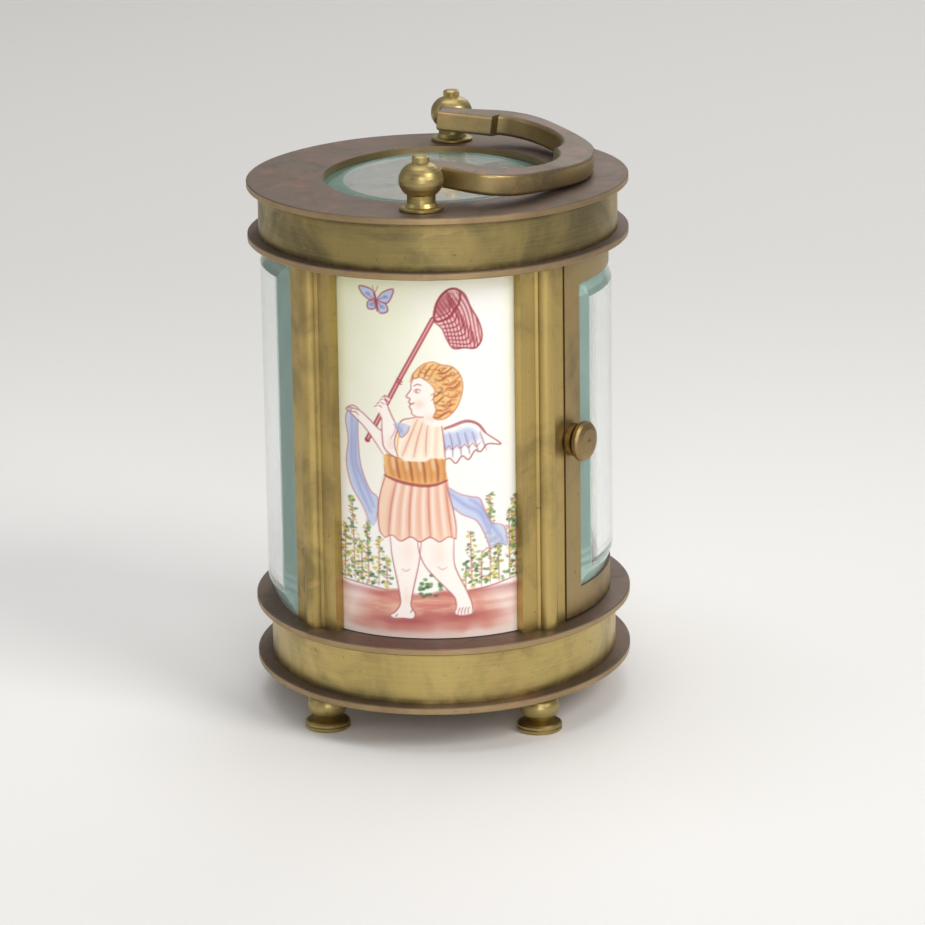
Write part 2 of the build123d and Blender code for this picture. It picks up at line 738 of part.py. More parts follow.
def movement_pillars():
    """Turned pillars between the plates, with tapped ends for the back screws."""
    low, high = 0, plate_gap
    tapped = screw_radius + seated
    profile = [(0, low), (1.5, low), (1.5, 1.0), (1.1, 1.6), (1.1, high - 1.6), (1.5, high - 1.0),
               (1.5, high), (tapped, high), (tapped, high - 4), (0, high - 4)]
    one = Rot(-90, 0, 0) * turned(profile)
    return Compound([Pos(x, inner_y, z) * one for x, z in movement_pillars_at()])


platform_screw_x = 10.0


def movement_screws():
    """Back plate, platform and seat screws."""
    screws = []
    for x, z in movement_pillars_at():
        screws.append(Pos(x, outer_y, z) * Rot(-90, 0, 0) * screw(screw_radius, 4.4, 1.1, 0.7))
    for x in (-platform_screw_x, platform_screw_x):
        for y in (front_plate_y + plate_thickness / 2, back_plate_y + plate_thickness / 2):
            screws.append(Pos(x, y, platform_z) * screw(0.45, 3.8, 0.95, 0.6))
    for x, y in seat_bolts:
        screws.append(Pos(x, y, floor_z) * Rot(180, 0, 0) * screw(screw_radius, 3.2, 1.1, 0.7))
    return Compound(screws)


def movement_seat():
    """Open frame that carries the plates on the base."""
    seat = block(-11.5, 11.5, front_plate_y, outer_y, window_z, plate_bottom_z)
    seat -= block(-7.0, 7.0, front_plate_y + 3, outer_y - 3, window_z - 1, plate_bottom_z + 1)
    for x, y in seat_bolts:
        seat -= post(screw_radius + seated, x, y, window_z - 1, window_z + 2.6)
    return seat


# ---------------------------------------------------------------- barrel and winding

def barrel():
    """Toothed spring barrel, open inside for the mainspring."""
    x, z = barrel_at
    mount = Pos(x, z)
    teeth = wheel_face(barrel_teeth, barrel_module, mesh_phase(90, barrel_teeth, False))
    teeth -= Circle(1.0 + running)
    drum = Circle(barrel_radius) - Circle(barrel_radius - 0.7)
    lid = Circle(barrel_radius) - Circle(1.0 + running)
    front = inner_y + 0.8
    return (upright(mount * teeth, barrel_back_y - 1.5, barrel_back_y)
            + upright(mount * drum, front, barrel_back_y - 1.0) + upright(mount * lid, front, front + 0.8))


def mainspring():
    coil = Pos(*barrel_at) * spiral(2.6, barrel_radius - 1.3, 8, 0.25)
    return upright(coil, inner_y + 1.9, barrel_back_y - 1.8)


def barrel_arbor():
    """Winding arbor with a hub for the spring and a square for the key."""
    x, z = barrel_at
    shaft = arbor(1.0, x, z, front_plate_y + 0.1, outer_y + 1.6)
    shaft += arbor(1.9, x, z, inner_y + 1.9, barrel_back_y - 1.8)
    return shaft + block(x - 0.7, x + 0.7, outer_y + 1.5, outer_y + 5.6, z - 0.7, z + 0.7)


ratchet_teeth = 24
ratchet_radius = 4.3
ratchet_root = 3.6
click_tip_angle = 75.0


def ratchet_wheel():
    """Saw-toothed wheel keyed on the winding arbor."""
    step = 360 / ratchet_teeth
    points = []
    for index in range(ratchet_teeth):
        angle = click_tip_angle + 3.2 + index * step
        points += circle_points((0, 0), ratchet_radius, [angle])
        points += circle_points((0, 0), ratchet_root, [angle + step - 0.4])
    face = outline(points) - Circle(1.0 + seated)
    return upright(Pos(*barrel_at) * face, outer_y + 0.2, outer_y + 1.1)


def click_at():
    return circle_points(barrel_at, 6.6, [46.0])[0]


def click_spring_root():
    return circle_points(barrel_at, 9.4, [74.0])[0]


def click():
    """Pawl whose nose stands in a ratchet tooth."""
    pivot = Vector(*click_at())
    tip = Vector(*circle_points(barrel_at, ratchet_root + 0.2, [click_tip_angle])[0])
    top = Vector(*circle_points(barrel_at, ratchet_radius + 0.5, [click_tip_angle + 0.4])[0])
    direction = (pivot - tip).normalized()
    across = Vector(-direction.Y, direction.X)
    nose = outline([tuple(point)[:2] for point in (tip, top, pivot + across, pivot)])
    at = Pos(pivot.X, pivot.Y)
    return upright(nose + at * Circle(1.1) - at * Circle(0.5 + running), outer_y + 0.2, outer_y + 1.1)


def click_spring():
    """Thin blade pinned to the back plate that presses the click down."""
    root = Vector(*click_spring_root())
    end = Vector(*circle_points(barrel_at, ratchet_radius + 2.25, [62.0])[0])
    bow = (root + end) * 0.5 + Vector(-0.5, 0.9)
    under = [tuple(point)[:2] for point in (root, bow, end)]
    over = [(x + 0.05, y + 0.24) for x, y in under]
    face = make_face([ThreePointArc(*under), Line(under[2], over[2]), ThreePointArc(*over[::-1]),
                      Line(over[0], under[0])])
    pin = arbor(0.4, root.X, root.Y, back_plate_y + 0.2, outer_y + 0.6)
    head = arbor(0.75, root.X, root.Y, outer_y, outer_y + 1.2)
    return upright(face, outer_y + 0.3, outer_y + 1.0) + pin + head


# ---------------------------------------------------------------- going train

def centre_wheel():
    """Centre arbor with its pinion and wheel, and a square behind for setting the hands."""
    x, z = centre_at
    at = Pos(x, z)
    shaft = arbor(arbor_radius, x, z, minute_hand_y - 0.6, outer_y + 1.5)
    phase = mesh_phase(270, centre_pinion_leaves, True)
    pinion = at * pinion_face(centre_pinion_leaves, barrel_module, phase)
    shaft += upright(pinion, barrel_back_y - 1.9, barrel_back_y + 0.3)
    face = wheel_face(centre_teeth, centre_module, mesh_phase(third_angle, centre_teeth, False))
    shaft += upright(at * crossed(face, 5.1, 1.6, 4, 0.9), centre_wheel_y, centre_wheel_y + 0.6)
    return shaft + block(x - 0.6, x + 0.6, outer_y + 1.4, outer_y + 5.0, z - 0.6, z + 0.6)


def third_wheel():
    x, z = third_at
    at = Pos(x, z)
    shaft = arbor(0.3, x, z, front_plate_y + 0.1, outer_y - 0.1)
    phase = mesh_phase(third_angle + 180, third_pinion_leaves, True)
    pinion = at * pinion_face(third_pinion_leaves, centre_module, phase)
    shaft += upright(pinion, centre_wheel_y - 0.3, centre_wheel_y + 0.9)
    face = wheel_face(third_teeth, third_module, mesh_phase(fourth_angle, third_teeth, False))
    return shaft + upright(at * crossed(face, 4.2, 1.2, 4, 0.7), third_wheel_y, third_wheel_y + 0.5)


def contrate_wheel():
    """Crown wheel that turns the drive upward to the platform."""
    x, z = fourth_at
    at = Pos(x, z)
    shaft = arbor(0.3, x, z, front_plate_y + 0.1, outer_y - 0.1)
    phase = mesh_phase(fourth_angle + 180, fourth_pinion_leaves, True)
    pinion = at * pinion_face(fourth_pinion_leaves, third_module, phase)
    shaft += upright(pinion, third_wheel_y - 0.3, third_wheel_y + 0.8)
    disc = crossed(Circle(contrate_radius + 0.25), contrate_radius - 0.5, 1.1, 4, 0.7)
    shaft += upright(at * disc, contrate_y, contrate_y + 0.5)
    step = 360 / contrate_teeth
    half = contrate_radius * radians(step) / 2
    tooth = outline([(contrate_radius - 0.25, -0.34 * half), (contrate_radius + 0.25, -0.36 * half),
                     (contrate_radius + 0.25, 0.36 * half), (contrate_radius - 0.25, 0.34 * half)])
    teeth = [Rot(0, 0, 90 + index * step) * tooth for index in range(contrate_teeth)]
    return shaft + [upright(at * face, contrate_y - contrate_tooth, contrate_y + 0.1) for face in teeth]


def cannon_pinion():
    """Pipe with twelve leaves, friction tight on the centre arbor."""
    at = Pos(*centre_at)
    phase = mesh_phase(minute_angle, cannon_teeth, True)
    leaves = gear(cannon_teeth, cannon_pitch, phase, 0.75 * cannon_module, 1.25 * cannon_module, 0.16, 0.08)
    bore = Circle(arbor_radius + seated)
    pipe = upright(at * (Circle(pipe_radius) - bore), minute_hand_y - 0.05, front_plate_y - 0.1)
    return pipe + upright(at * (leaves - bore), front_plate_y - 1.0, front_plate_y - 0.2)


def minute_wheel():
    """Wheel and pinion on a stud of the front plate."""
    at = Pos(*minute_at)
    hole = Circle(0.45 + running)
    wheel_phase = mesh_phase(minute_angle + 180, minute_teeth, False)
    leaf_phase = mesh_phase(minute_angle + 180, minute_pinion_leaves, True)
    wheel = wheel_face(minute_teeth, cannon_module, wheel_phase) - hole
    pinion = gear(minute_pinion_leaves, minute_pinion_leaves * hour_module / 2, leaf_phase,
                  0.7 * hour_module, 1.2 * hour_module, 0.15, 0.09) - hole
    return (upright(at * wheel, front_plate_y - 0.9, front_plate_y - 0.4)
            + upright(at * pinion, front_plate_y - 2.3, front_plate_y - 0.8))


def hour_wheel():
    """Wheel on a pipe that turns over the cannon pinion."""
    at = Pos(*centre_at)
    hole = Circle(pipe_radius + running)
    wheel = wheel_face(hour_teeth, hour_module, mesh_phase(minute_angle, hour_teeth, False)) - hole
    pipe = Circle(hour_pipe_radius) - hole
    return (upright(at * wheel, front_plate_y - 2.1, front_plate_y - 1.5)
            + upright(at * pipe, hour_hand_y - 0.1, front_plate_y - 1.4))


# ---------------------------------------------------------------- platform escapement

def platform():
    """Plate on top of the movement, with the potence that carries the escape arbor's foot."""
    plate = block(-platform_half_width, platform_half_width, front_plate_y, outer_y, plate_top_z, platform_z)
    plate = fillet(plate.edges().filter_by(Axis.Z), 1.5)
    ex, ey = escape_at
    for x in (-platform_screw_x, platform_screw_x):
        for y in (front_plate_y + plate_thickness / 2, back_plate_y + plate_thickness / 2):
            plate -= post(0.45 + seated, x, y, plate_top_z - 1, platform_z + 1)
    plate -= post(1.0, ex, ey, plate_top_z - 1, platform_z + 1)
    for x, y in (lever_at, balance_at):
        plate -= post(0.25 + running, x, y, plate_top_z + 0.4, platform_z + 1)
    foot_z = fourth_at[1] + 2.4
    plate += block(ex - 0.9, ex + 0.9, ey - 2.1, ey - 1.1, foot_z, plate_top_z + 0.1)
    arm = block(ex - 0.9, ex + 0.9, ey - 2.1, ey + 0.55, foot_z, foot_z + 0.8)
    return plate + arm - post(0.2 + running, ex, ey, foot_z + 0.2, foot_z + 1)


wheel_plane = platform_z + 1.2
bridge_z = platform_z + 2.6


def escape_wheel():
    """Fifteen-tooth wheel on a vertical pinion arbor."""
    ex, ey = escape_at
    foot_z = fourth_at[1] + 2.4
    shaft = post(0.2, ex, ey, foot_z + 0.25, bridge_z + 0.5)
    step = 360 / escape_pinion_leaves
    leaves = gear(escape_pinion_leaves, escape_pinion_radius, 90 + step / 2, 0.17, 0.25, 0.14, 0.10)
    low = fourth_at[1] + contrate_radius - 0.6
    shaft += rise(Pos(ex, ey) * leaves, low, low + 1.6)
    shaft += post(0.3, ex, ey, low + 1.5, wheel_plane + 0.5)
    points = []
    step = 360 / escape_teeth
    for index in range(escape_teeth):
        a = index * step
        points += circle_points((0, 0), escape_radius, [a, a + 2.0])
        points += circle_points((0, 0), escape_radius * 0.74, [a + 7.0, a + step - 3.0])
    face = crossed(outline(points), escape_radius * 0.6, 0.7, 4, 0.4, 20)
    return shaft + rise(Pos(ex, ey) * face, wheel_plane, wheel_plane + 0.35)


def pallet_lever():
    """Lever with two pallets that straddle the escape wheel and a fork toward the balance."""
    angle = degrees(atan2(lever_at[1] - balance_at[1], lever_at[0] - balance_at[0]))
    reach = sqrt((lever_at[0] - escape_at[0]) ** 2 + (lever_at[1] - escape_at[1]) ** 2)
    face = Circle(0.7) + Pos(-1.1, 0) * Rectangle(2.2, 0.5)
    face += outline([(-2.1, -0.25), (-2.5, -0.75), (-2.9, -0.75), (-2.9, -0.3), (-2.5, -0.15), (-2.5, 0.15),
                     (-2.9, 0.3), (-2.9, 0.75), (-2.5, 0.75), (-2.1, 0.25)])
    for side in (-1, 1):
        arm = [(-0.3, side * 0.1), (0.3, side * 0.1), (1.1, side * 2.0), (1.1, side * 2.75),
               (0.6, side * 2.75)]
        face += outline(arm)
        stone = circle_points((reach, 0), escape_radius + 0.15, [180 - side * 48, 180 - side * 40])
        stone += circle_points((reach, 0), escape_radius + 0.85, [180 - side * 42, 180 - side * 50])
        face += outline(stone)
    at = Pos(*lever_at) * Rot(0, 0, angle)
    shaft = post(0.25, lever_at[0], lever_at[1], plate_top_z + 0.5, bridge_z + 0.5)
    return shaft + rise(at * face, wheel_plane, wheel_plane + 0.35)


def escapement_bridge():
    """Cock over the escape wheel and the lever."""
    ex, ey = escape_at
    lx, ly = lever_at
    foot = block(ex + 4.0, ex + 6.4, ey - 1.3, ey + 1.3, platform_z, bridge_z + 0.7)
    arm = Pos((ex + 4.5 + lx) / 2, (ey + ly) / 2) * Rot(0, 0, degrees(atan2(ly - ey, lx - ex))) * Rectangle(
        ex + 4.5 - lx, 1.6)
    arm += Pos(lx, ly) * Circle(0.95)
    bridge = foot + rise(arm, bridge_z, bridge_z + 0.7)
    bridge -= post(0.2 + running, ex, ey, bridge_z - 1, bridge_z + 0.55)
    return bridge - post(0.25 + running, lx, ly, bridge_z - 1, bridge_z + 0.55)


balance_z = bridge_z + 1.3
hairspring_z = balance_z + 1.2
cock_z = hairspring_z + 0.75


def balance_wheel():
    """Compensated balance: rim, two arms, timing screws, staff and roller."""
    bx, by = balance_at
    at = Pos(bx, by)
    face = crossed(Circle(balance_radius), balance_radius - 0.55, 0.7, 2, 0.7)
    rim = rise(at * face, balance_z, balance_z + 0.7)
    staff = post(0.25, bx, by, plate_top_z + 0.5, cock_z + 0.6)
    staff += post(0.5, bx, by, balance_z - 1.0, balance_z + 0.9)
    staff += post(1.1, bx, by, balance_z - 1.0, balance_z - 0.7)
    for angle in range(15, 360, 30):
        head = Rot(0, 90, 0) * Cylinder(0.24, 0.75, align=ON_BASE)
        staff += Pos(bx, by, balance_z + 0.35) * Rot(0, 0, angle) * Pos(balance_radius - 0.35, 0, 0) * head
    return rim + staff


def hairspring():
    coil = Pos(*balance_at) * spiral(0.62, 2.3, 5, 0.07)
    return rise(coil, hairspring_z, hairspring_z + 0.25)


def balance_cock():
    """Bridge over the balance, with its foot behind."""
    bx, by = balance_at
    heel_y = by + balance_radius + 0.8
    foot = block(bx - 1.8, bx + 1.8, heel_y, heel_y + 2.4, platform_z, cock_z + 0.9)
    arm = outline([(bx - 1.8, heel_y + 0.2), (bx + 1.8, heel_y + 0.2), (bx + 1.0, by), (bx - 1.0, by)])
    arm += Pos(bx, by) * Circle(1.3)
    return foot + rise(arm, cock_z, cock_z + 0.9) - post(0.25 + running, bx, by, cock_z - 1, cock_z + 0.65)


def regulator():
    """Index that turns on the balance cock."""
    bx, by = balance_at
    ring = Circle(1.2) - Circle(0.45)
    pointer = outline([(0.5, -0.35), (3.6, -0.1), (3.6, 0.1), (0.5, 0.35)])
    face = Pos(bx, by) * Rot(0, 0, -30) * (ring + pointer - Circle(0.45))
    return rise(face, cock_z + 0.93, cock_z + 1.2)


# ---------------------------------------------------------------- write every piece

def parts():
    pieces = base()
    for name, (x, y) in quarter_points(foot_x, foot_y).items():
        pieces["foot_" + name] = foot(x, y)
        pieces["pillar_" + name] = pillar(1 if x > 0 else -1, y < 0)
    pieces.update(cornice())
    for name, side in (("left", -1), ("right", 1)):
        pieces["panel_" + name] = panel(side)
        pieces["finial_" + name] = finial(side)
    single = [front_glass, top_glass, top_glass_retainer, cornice_screws, handle, handle_pivot_pins,
              door_frame, door_glass, door_hinge_pins, door_knob, latch_finger,
              dial_mask, dial, dial_posts, hour_hand, minute_hand, hand_nut,
              movement_pillars, movement_screws, movement_seat,
              barrel, mainspring, barrel_arbor, ratchet_wheel, click, click_spring,
              centre_wheel, third_wheel, contrate_wheel, cannon_pinion, minute_wheel, hour_wheel,
              platform, escape_wheel, pallet_lever, escapement_bridge, balance_wheel, hairspring,
              balance_cock, regulator]
    for make in single:
        pieces[make.__name__] = make()
    pieces["front_plate"] = movement_plate(True)
    pieces["back_plate"] = movement_plate(False)
    return pieces


os.makedirs("parts", exist_ok=True)
for name, piece in parts().items():
    export_step(piece, f"parts/{name}.step")
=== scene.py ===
import math

import bmesh
import bpy
import numpy as np
from mathutils import Matrix, Vector


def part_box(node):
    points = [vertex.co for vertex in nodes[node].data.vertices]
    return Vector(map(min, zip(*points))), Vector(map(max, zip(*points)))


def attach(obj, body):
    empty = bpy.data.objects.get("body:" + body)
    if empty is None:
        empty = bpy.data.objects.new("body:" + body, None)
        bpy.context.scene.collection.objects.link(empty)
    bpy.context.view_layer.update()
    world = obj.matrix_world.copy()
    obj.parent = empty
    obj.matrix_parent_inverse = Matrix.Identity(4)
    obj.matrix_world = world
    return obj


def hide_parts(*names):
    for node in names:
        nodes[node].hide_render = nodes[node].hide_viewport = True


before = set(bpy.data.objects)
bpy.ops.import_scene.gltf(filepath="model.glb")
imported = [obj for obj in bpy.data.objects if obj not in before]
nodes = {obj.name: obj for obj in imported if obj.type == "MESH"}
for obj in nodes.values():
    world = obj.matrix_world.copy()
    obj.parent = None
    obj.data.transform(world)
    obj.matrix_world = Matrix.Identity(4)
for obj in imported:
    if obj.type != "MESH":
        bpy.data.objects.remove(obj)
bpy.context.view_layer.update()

mm = 0.001
print("frame loaded:", len(nodes), "nodes")


# shader sums

class Wire:
    # a shader socket that can be used in a sum
    def __init__(self, graph, socket):
        self.graph = graph
        self.socket = socket

    def __add__(self, other):
        return self.graph.sum("ADD", self, other)

    def __radd__(self, other):
        return self.graph.sum("ADD", other, self)

    def __sub__(self, other):
        return self.graph.sum("SUBTRACT", self, other)

    def __rsub__(self, other):
        return self.graph.sum("SUBTRACT", other, self)

    def __mul__(self, other):
        return self.graph.sum("MULTIPLY", self, other)

    def __rmul__(self, other):
        return self.graph.sum("MULTIPLY", other, self)

    def clamped(self):
        return self.graph.sum("MINIMUM", self.graph.sum("MAXIMUM", self, 0.0), 1.0)

    def rise(self, low, high):
        # 0 below low, 1 above high, smooth between
        return self.graph.node("MapRange", {"interpolation_type": "SMOOTHSTEP"},
                               {"Value": self, "From Min": low, "From Max": high})


class Graph:
    # the node tree of one material
    def __init__(self, name):
        self.material = bpy.data.materials.new(name)
        self.material.use_nodes = True
        self.tree = self.material.node_tree
        self.tree.nodes.clear()

    def node(self, kind, settings=None, inputs=None, output=0):
        made = self.tree.nodes.new("ShaderNode" + kind)
        for key, value in (settings or {}).items():
            setattr(made, key, value)
        for key, value in (inputs or {}).items():
            if isinstance(value, Wire):
                self.tree.links.new(value.socket, made.inputs[key])
            else:
                made.inputs[key].default_value = value
        return Wire(self, made.outputs[output]) if made.outputs else None

    def sum(self, operation, a, b):
        return self.node("Math", {"operation": operation}, {0: a, 1: b})

    def mix(self, factor, a, b):
        a = a if isinstance(a, Wire) else (*a, 1.0)
        b = b if isinstance(b, Wire) else (*b, 1.0)
        return self.node("Mix", {"data_type": "RGBA"}, {0: factor, 6: a, 7: b}, output=2)

    def place(self, output="Object"):
        return self.node("TexCoord", output=output)

    def stretched(self, vector, scale):
        return self.node("VectorMath", {"operation": "MULTIPLY"}, {0: vector, 1: scale})

    def noise(self, vector, scale, detail=3.0, roughness=0.55, distortion=0.0):
        return self.node("TexNoise", None, {"Vector": vector, "Scale": scale, "Detail": detail,
                                            "Roughness": roughness, "Distortion": distortion})

    def part(self, vector, axis):
        return self.node("SeparateXYZ", None, {0: vector}, output="XYZ".index(axis))

    def bump(self, height, depth, strength=1.0):
        return self.node("Bump", None, {"Height": height, "Distance": depth, "Strength": strength})

    def shader(self, inputs):
        return self.node("BsdfPrincipled", None, inputs)

    def finish(self, shader):
        self.node("OutputMaterial", None, {"Surface": shader})
        return self.material

    def surface(self, inputs):
        return self.finish(self.shader(inputs))


# metal

brushWays = {
    "around": (90.0, 90.0, 4200.0),   # lines that run round an upright band
    "upright": (4200.0, 4200.0, 70.0),
    "across": (60.0, 3600.0, 3600.0),
}

# top: the colour of faces turned up, a mauve tarnish darkened as painted shade
antiqueBrass = {
    # one brass in two copies for the bands: the base band's colours lighter, as painted light, and the
    # cornice band's darker, as painted shade
    "litBaseBrass": {"main": (0.50, 0.385, 0.145), "dull": (0.22, 0.180, 0.085), "warm": (0.50, 0.31, 0.14),
                  "top": None, "brush": "around", "rough": 0.29},
    "shadedBandBrass": {"main": (0.34, 0.265, 0.105), "dull": (0.15, 0.125, 0.065), "warm": (0.50, 0.31, 0.14),
                  "top": None, "brush": "around", "rough": 0.33},
    "pillarBrass": {"main": (0.48, 0.355, 0.130), "dull": (0.24, 0.185, 0.08), "warm": (0.55, 0.36, 0.15),
                    "top": None, "brush": "upright", "rough": 0.34},
    "flangeBrass": {"main": (0.40, 0.285, 0.15), "dull": (0.27, 0.20, 0.12), "warm": (0.50, 0.27, 0.16),
                    "top": (0.205, 0.158, 0.128), "brush": "around", "rough": 0.40},
    "handleBrass": {"main": (0.35, 0.26, 0.12), "dull": (0.17, 0.135, 0.08), "warm": (0.45, 0.27, 0.14),
                    "top": (0.215, 0.172, 0.135), "brush": "across", "rough": 0.36},
    "turnedBrass": {"main": (0.46, 0.36, 0.15), "dull": (0.25, 0.20, 0.09), "warm": (0.46, 0.31, 0.13),
                    "top": None, "brush": "around", "rough": 0.30},
    "doorBrass": {"main": (0.38, 0.285, 0.13), "dull": (0.24, 0.17, 0.11), "warm": (0.42, 0.26, 0.16),
                  "top": (0.20, 0.145, 0.115), "brush": "upright", "rough": 0.40},
    "knobBrass": {"main": (0.30, 0.215, 0.10), "dull": (0.19, 0.13, 0.07), "warm": (0.42, 0.24, 0.12),
                  "top": None, "brush": "across", "rough": 0.34},
}
patina = {
    # scale of each noise
    "cloud": 95.0, "blotch": 210.0, "speck": 1500.0, "streak": 130.0, "ragged": 420.0,
    # range of each noise in which its colour comes in, and of the upward slope for the tops' tarnish and
    # painted shade
    "cloudRange": (0.38, 0.74), "warmRange": (0.56, 0.74), "lineRange": (0.30, 0.75),
    "speckRange": (0.66, 0.80), "roughRange": (0.35, 0.75), "streakRange": (0.50, 0.72),
    "darkRange": (0.30, 0.50), "raggedRange": (0.25, 0.62), "shadedTopRange": (0.45, 0.80),
    # how strongly each one comes in
    "warm": 0.65, "lit": 0.30, "spotted": 0.55, "streaked": 0.75, "edgeGrimeAndShade": 0.7,
    # share of a colour that makes its lighter or darker companion
    "lighter": 1.35, "spotShade": 0.45, "topShade": 0.82, "edgeGrimeAndShadeTone": 0.35,
    "edgeGrimeAndShadeDepth": 0.9 * mm, "brushDepth": 0.004 * mm,
}


def shaded(colour, share):
    return [c * share for c in colour]


def brassMaterial(name, look, box=None):
    # worn brass: brush lines, cloudy tarnish, warm copper blotches, specks, ragged grime with painted shade
    # along the box's top and bottom edges, and on faces turned up a tarnish darkened as painted shade
    graph = Graph(name)
    place = graph.place()
    cloud = graph.noise(place, patina["cloud"], 4.0, 0.6, 0.6)
    blotch = graph.noise(graph.stretched(place, (1.0, 1.0, 1.7)), patina["blotch"], 5.0, 0.62, 1.2)
    speck = graph.noise(place, patina["speck"], 2.0)
    lines = graph.noise(graph.stretched(place, brushWays[look["brush"]]), 1.0, 4.0, 0.7)
    colour = graph.mix(cloud.rise(*patina["cloudRange"]), look["main"], look["dull"])
    colour = graph.mix(blotch.rise(*patina["warmRange"]) * patina["warm"], colour, look["warm"])
    bright, dark = shaded(look["main"], patina["lighter"]), shaded(look["dull"], patina["spotShade"])
    colour = graph.mix(lines.rise(*patina["lineRange"]) * patina["lit"], colour, bright)
    colour = graph.mix(speck.rise(*patina["speckRange"]) * patina["spotted"], colour, dark)
    rough = look["rough"] + cloud.rise(*patina["roughRange"]) * 0.14 + lines * 0.08
    # painted shade: faces turned up take the top colour, a mauve tarnish made darker to stand in for the
    # shade on the tops
    if look["top"]:
        shadedTopMask = graph.part(graph.place("Normal"), "Z").rise(*patina["shadedTopRange"])
        streak = graph.noise(graph.stretched(place, (1.0, 2.2, 1.0)), patina["streak"], 5.0, 0.6, 1.0)
        reddish = [look["top"][0] * 1.50, look["top"][1] * 1.08, look["top"][2]]
        tarnishAndShade = graph.mix(streak.rise(*patina["streakRange"]) * patina["streaked"], look["top"], reddish)
        shade = shaded(look["top"], patina["topShade"])
        tarnishAndShade = graph.mix(blotch.rise(*patina["darkRange"]), shade, tarnishAndShade)
        colour = graph.mix(shadedTopMask, colour, tarnishAndShade)
        rough = rough + shadedTopMask * 0.06
    # grime and painted shade: a ragged darkening near the top and bottom edges of the piece's box
    if box:
        height = graph.part(place, "Z")
        low, high = box[0].z, box[1].z
        deep = patina["edgeGrimeAndShadeDepth"]
        edge = 1.0 - (height - low).rise(0.0, deep) * (high - height).rise(0.0, deep)
        ragged = edge * graph.noise(place, patina["ragged"], 4.0).rise(*patina["raggedRange"])
        colour = graph.mix(ragged * patina["edgeGrimeAndShade"], colour, shaded(look["dull"], patina["edgeGrimeAndShadeTone"]))
        rough = rough + ragged * 0.2
    normal = graph.bump(lines + speck * 0.25, patina["brushDepth"])
    return graph.surface({"Base Color": colour, "Metallic": 1.0, "Roughness": rough.clamped(),
                          "Normal": normal})


movementLook = {"cloud": 160.0, "spot": 900.0, "cloudRange": (0.35, 0.75), "spotRange": (0.64, 0.76),
                "cover": 0.6, "cloudShade": 0.72, "spotShade": 0.4, "grainDepth": 0.003 * mm}


def movementMaterial(name, colour, rough, grain):
    # lacquered brass of the movement, straight grained
    graph = Graph(name)
    place = graph.place()
    lines = graph.noise(graph.stretched(place, grain), 1.0, 3.0, 0.7)
    cloud = graph.noise(place, movementLook["cloud"], 3.0)
    spot = graph.noise(place, movementLook["spot"], 3.0)
    clouded = cloud.rise(*movementLook["cloudRange"]) * movementLook["cover"]
    tint = graph.mix(clouded, colour, shaded(colour, movementLook["cloudShade"]))
    spotted = spot.rise(*movementLook["spotRange"]) * movementLook["cover"]
    tint = graph.mix(spotted, tint, shaded(colour, movementLook["spotShade"]))
    return graph.surface({"Base Color": tint, "Metallic": 1.0,
                          "Roughness": (rough + lines * 0.12 + cloud * 0.08).clamped(),
                          "Normal": graph.bump(lines, movementLook["grainDepth"])})


steelLook = {"scratch": (3800.0, 900.0, 3800.0), "scratchDepth": 0.002 * mm,
             "stain": 700.0, "stainRange": (0.52, 0.72), "stainCover": 0.7, "stainShade": 0.55}


def steelMaterial(name, colour, rough):
    # drawn or turned steel with a fine scratch and a little oil staining
    graph = Graph(name)
    place = graph.place()
    scratch = graph.noise(graph.stretched(place, steelLook["scratch"]), 1.0, 3.0, 0.7)
    stain = graph.noise(place, steelLook["stain"], 4.0, 0.6, 0.8)
    stained = stain.rise(*steelLook["stainRange"]) * steelLook["stainCover"]
    tint = graph.mix(stained, colour, shaded(colour, steelLook["stainShade"]))
    return graph.surface({"Base Color": tint, "Metallic": 1.0,
                          "Roughness": (rough + scratch * 0.12 + stain * 0.06).clamped(),
                          "Normal": graph.bump(scratch, steelLook["scratchDepth"])})


# glass, porcelain and enamel

glassLook = {
    "tint": (0.955, 0.985, 0.97), "rough": 0.01, "blend": 0.06 * mm,
    "bevel": (0.37, 0.53, 0.48), "bevelCover": 0.62,
    "topBevel": (0.10, 0.21, 0.17), "topCover": 0.80, "topEdge": (0.775, 0.795),
    # sheen: colour and cover of the top glass's painted sheen
    "sheen": (0.80, 0.83, 0.79), "sheenCover": 0.16, "sheenCloud": 0.08,
}
# widths of the bevel up the ends and along the rails; slant allows for the curve of the ends
paneBorders = {
    "front_glass": {"slant": 1.19, "stile": 3.5 * mm, "rail": 2.7 * mm},
    "door_glass": {"slant": 1.12, "stile": 2.8 * mm, "rail": 2.8 * mm},
}


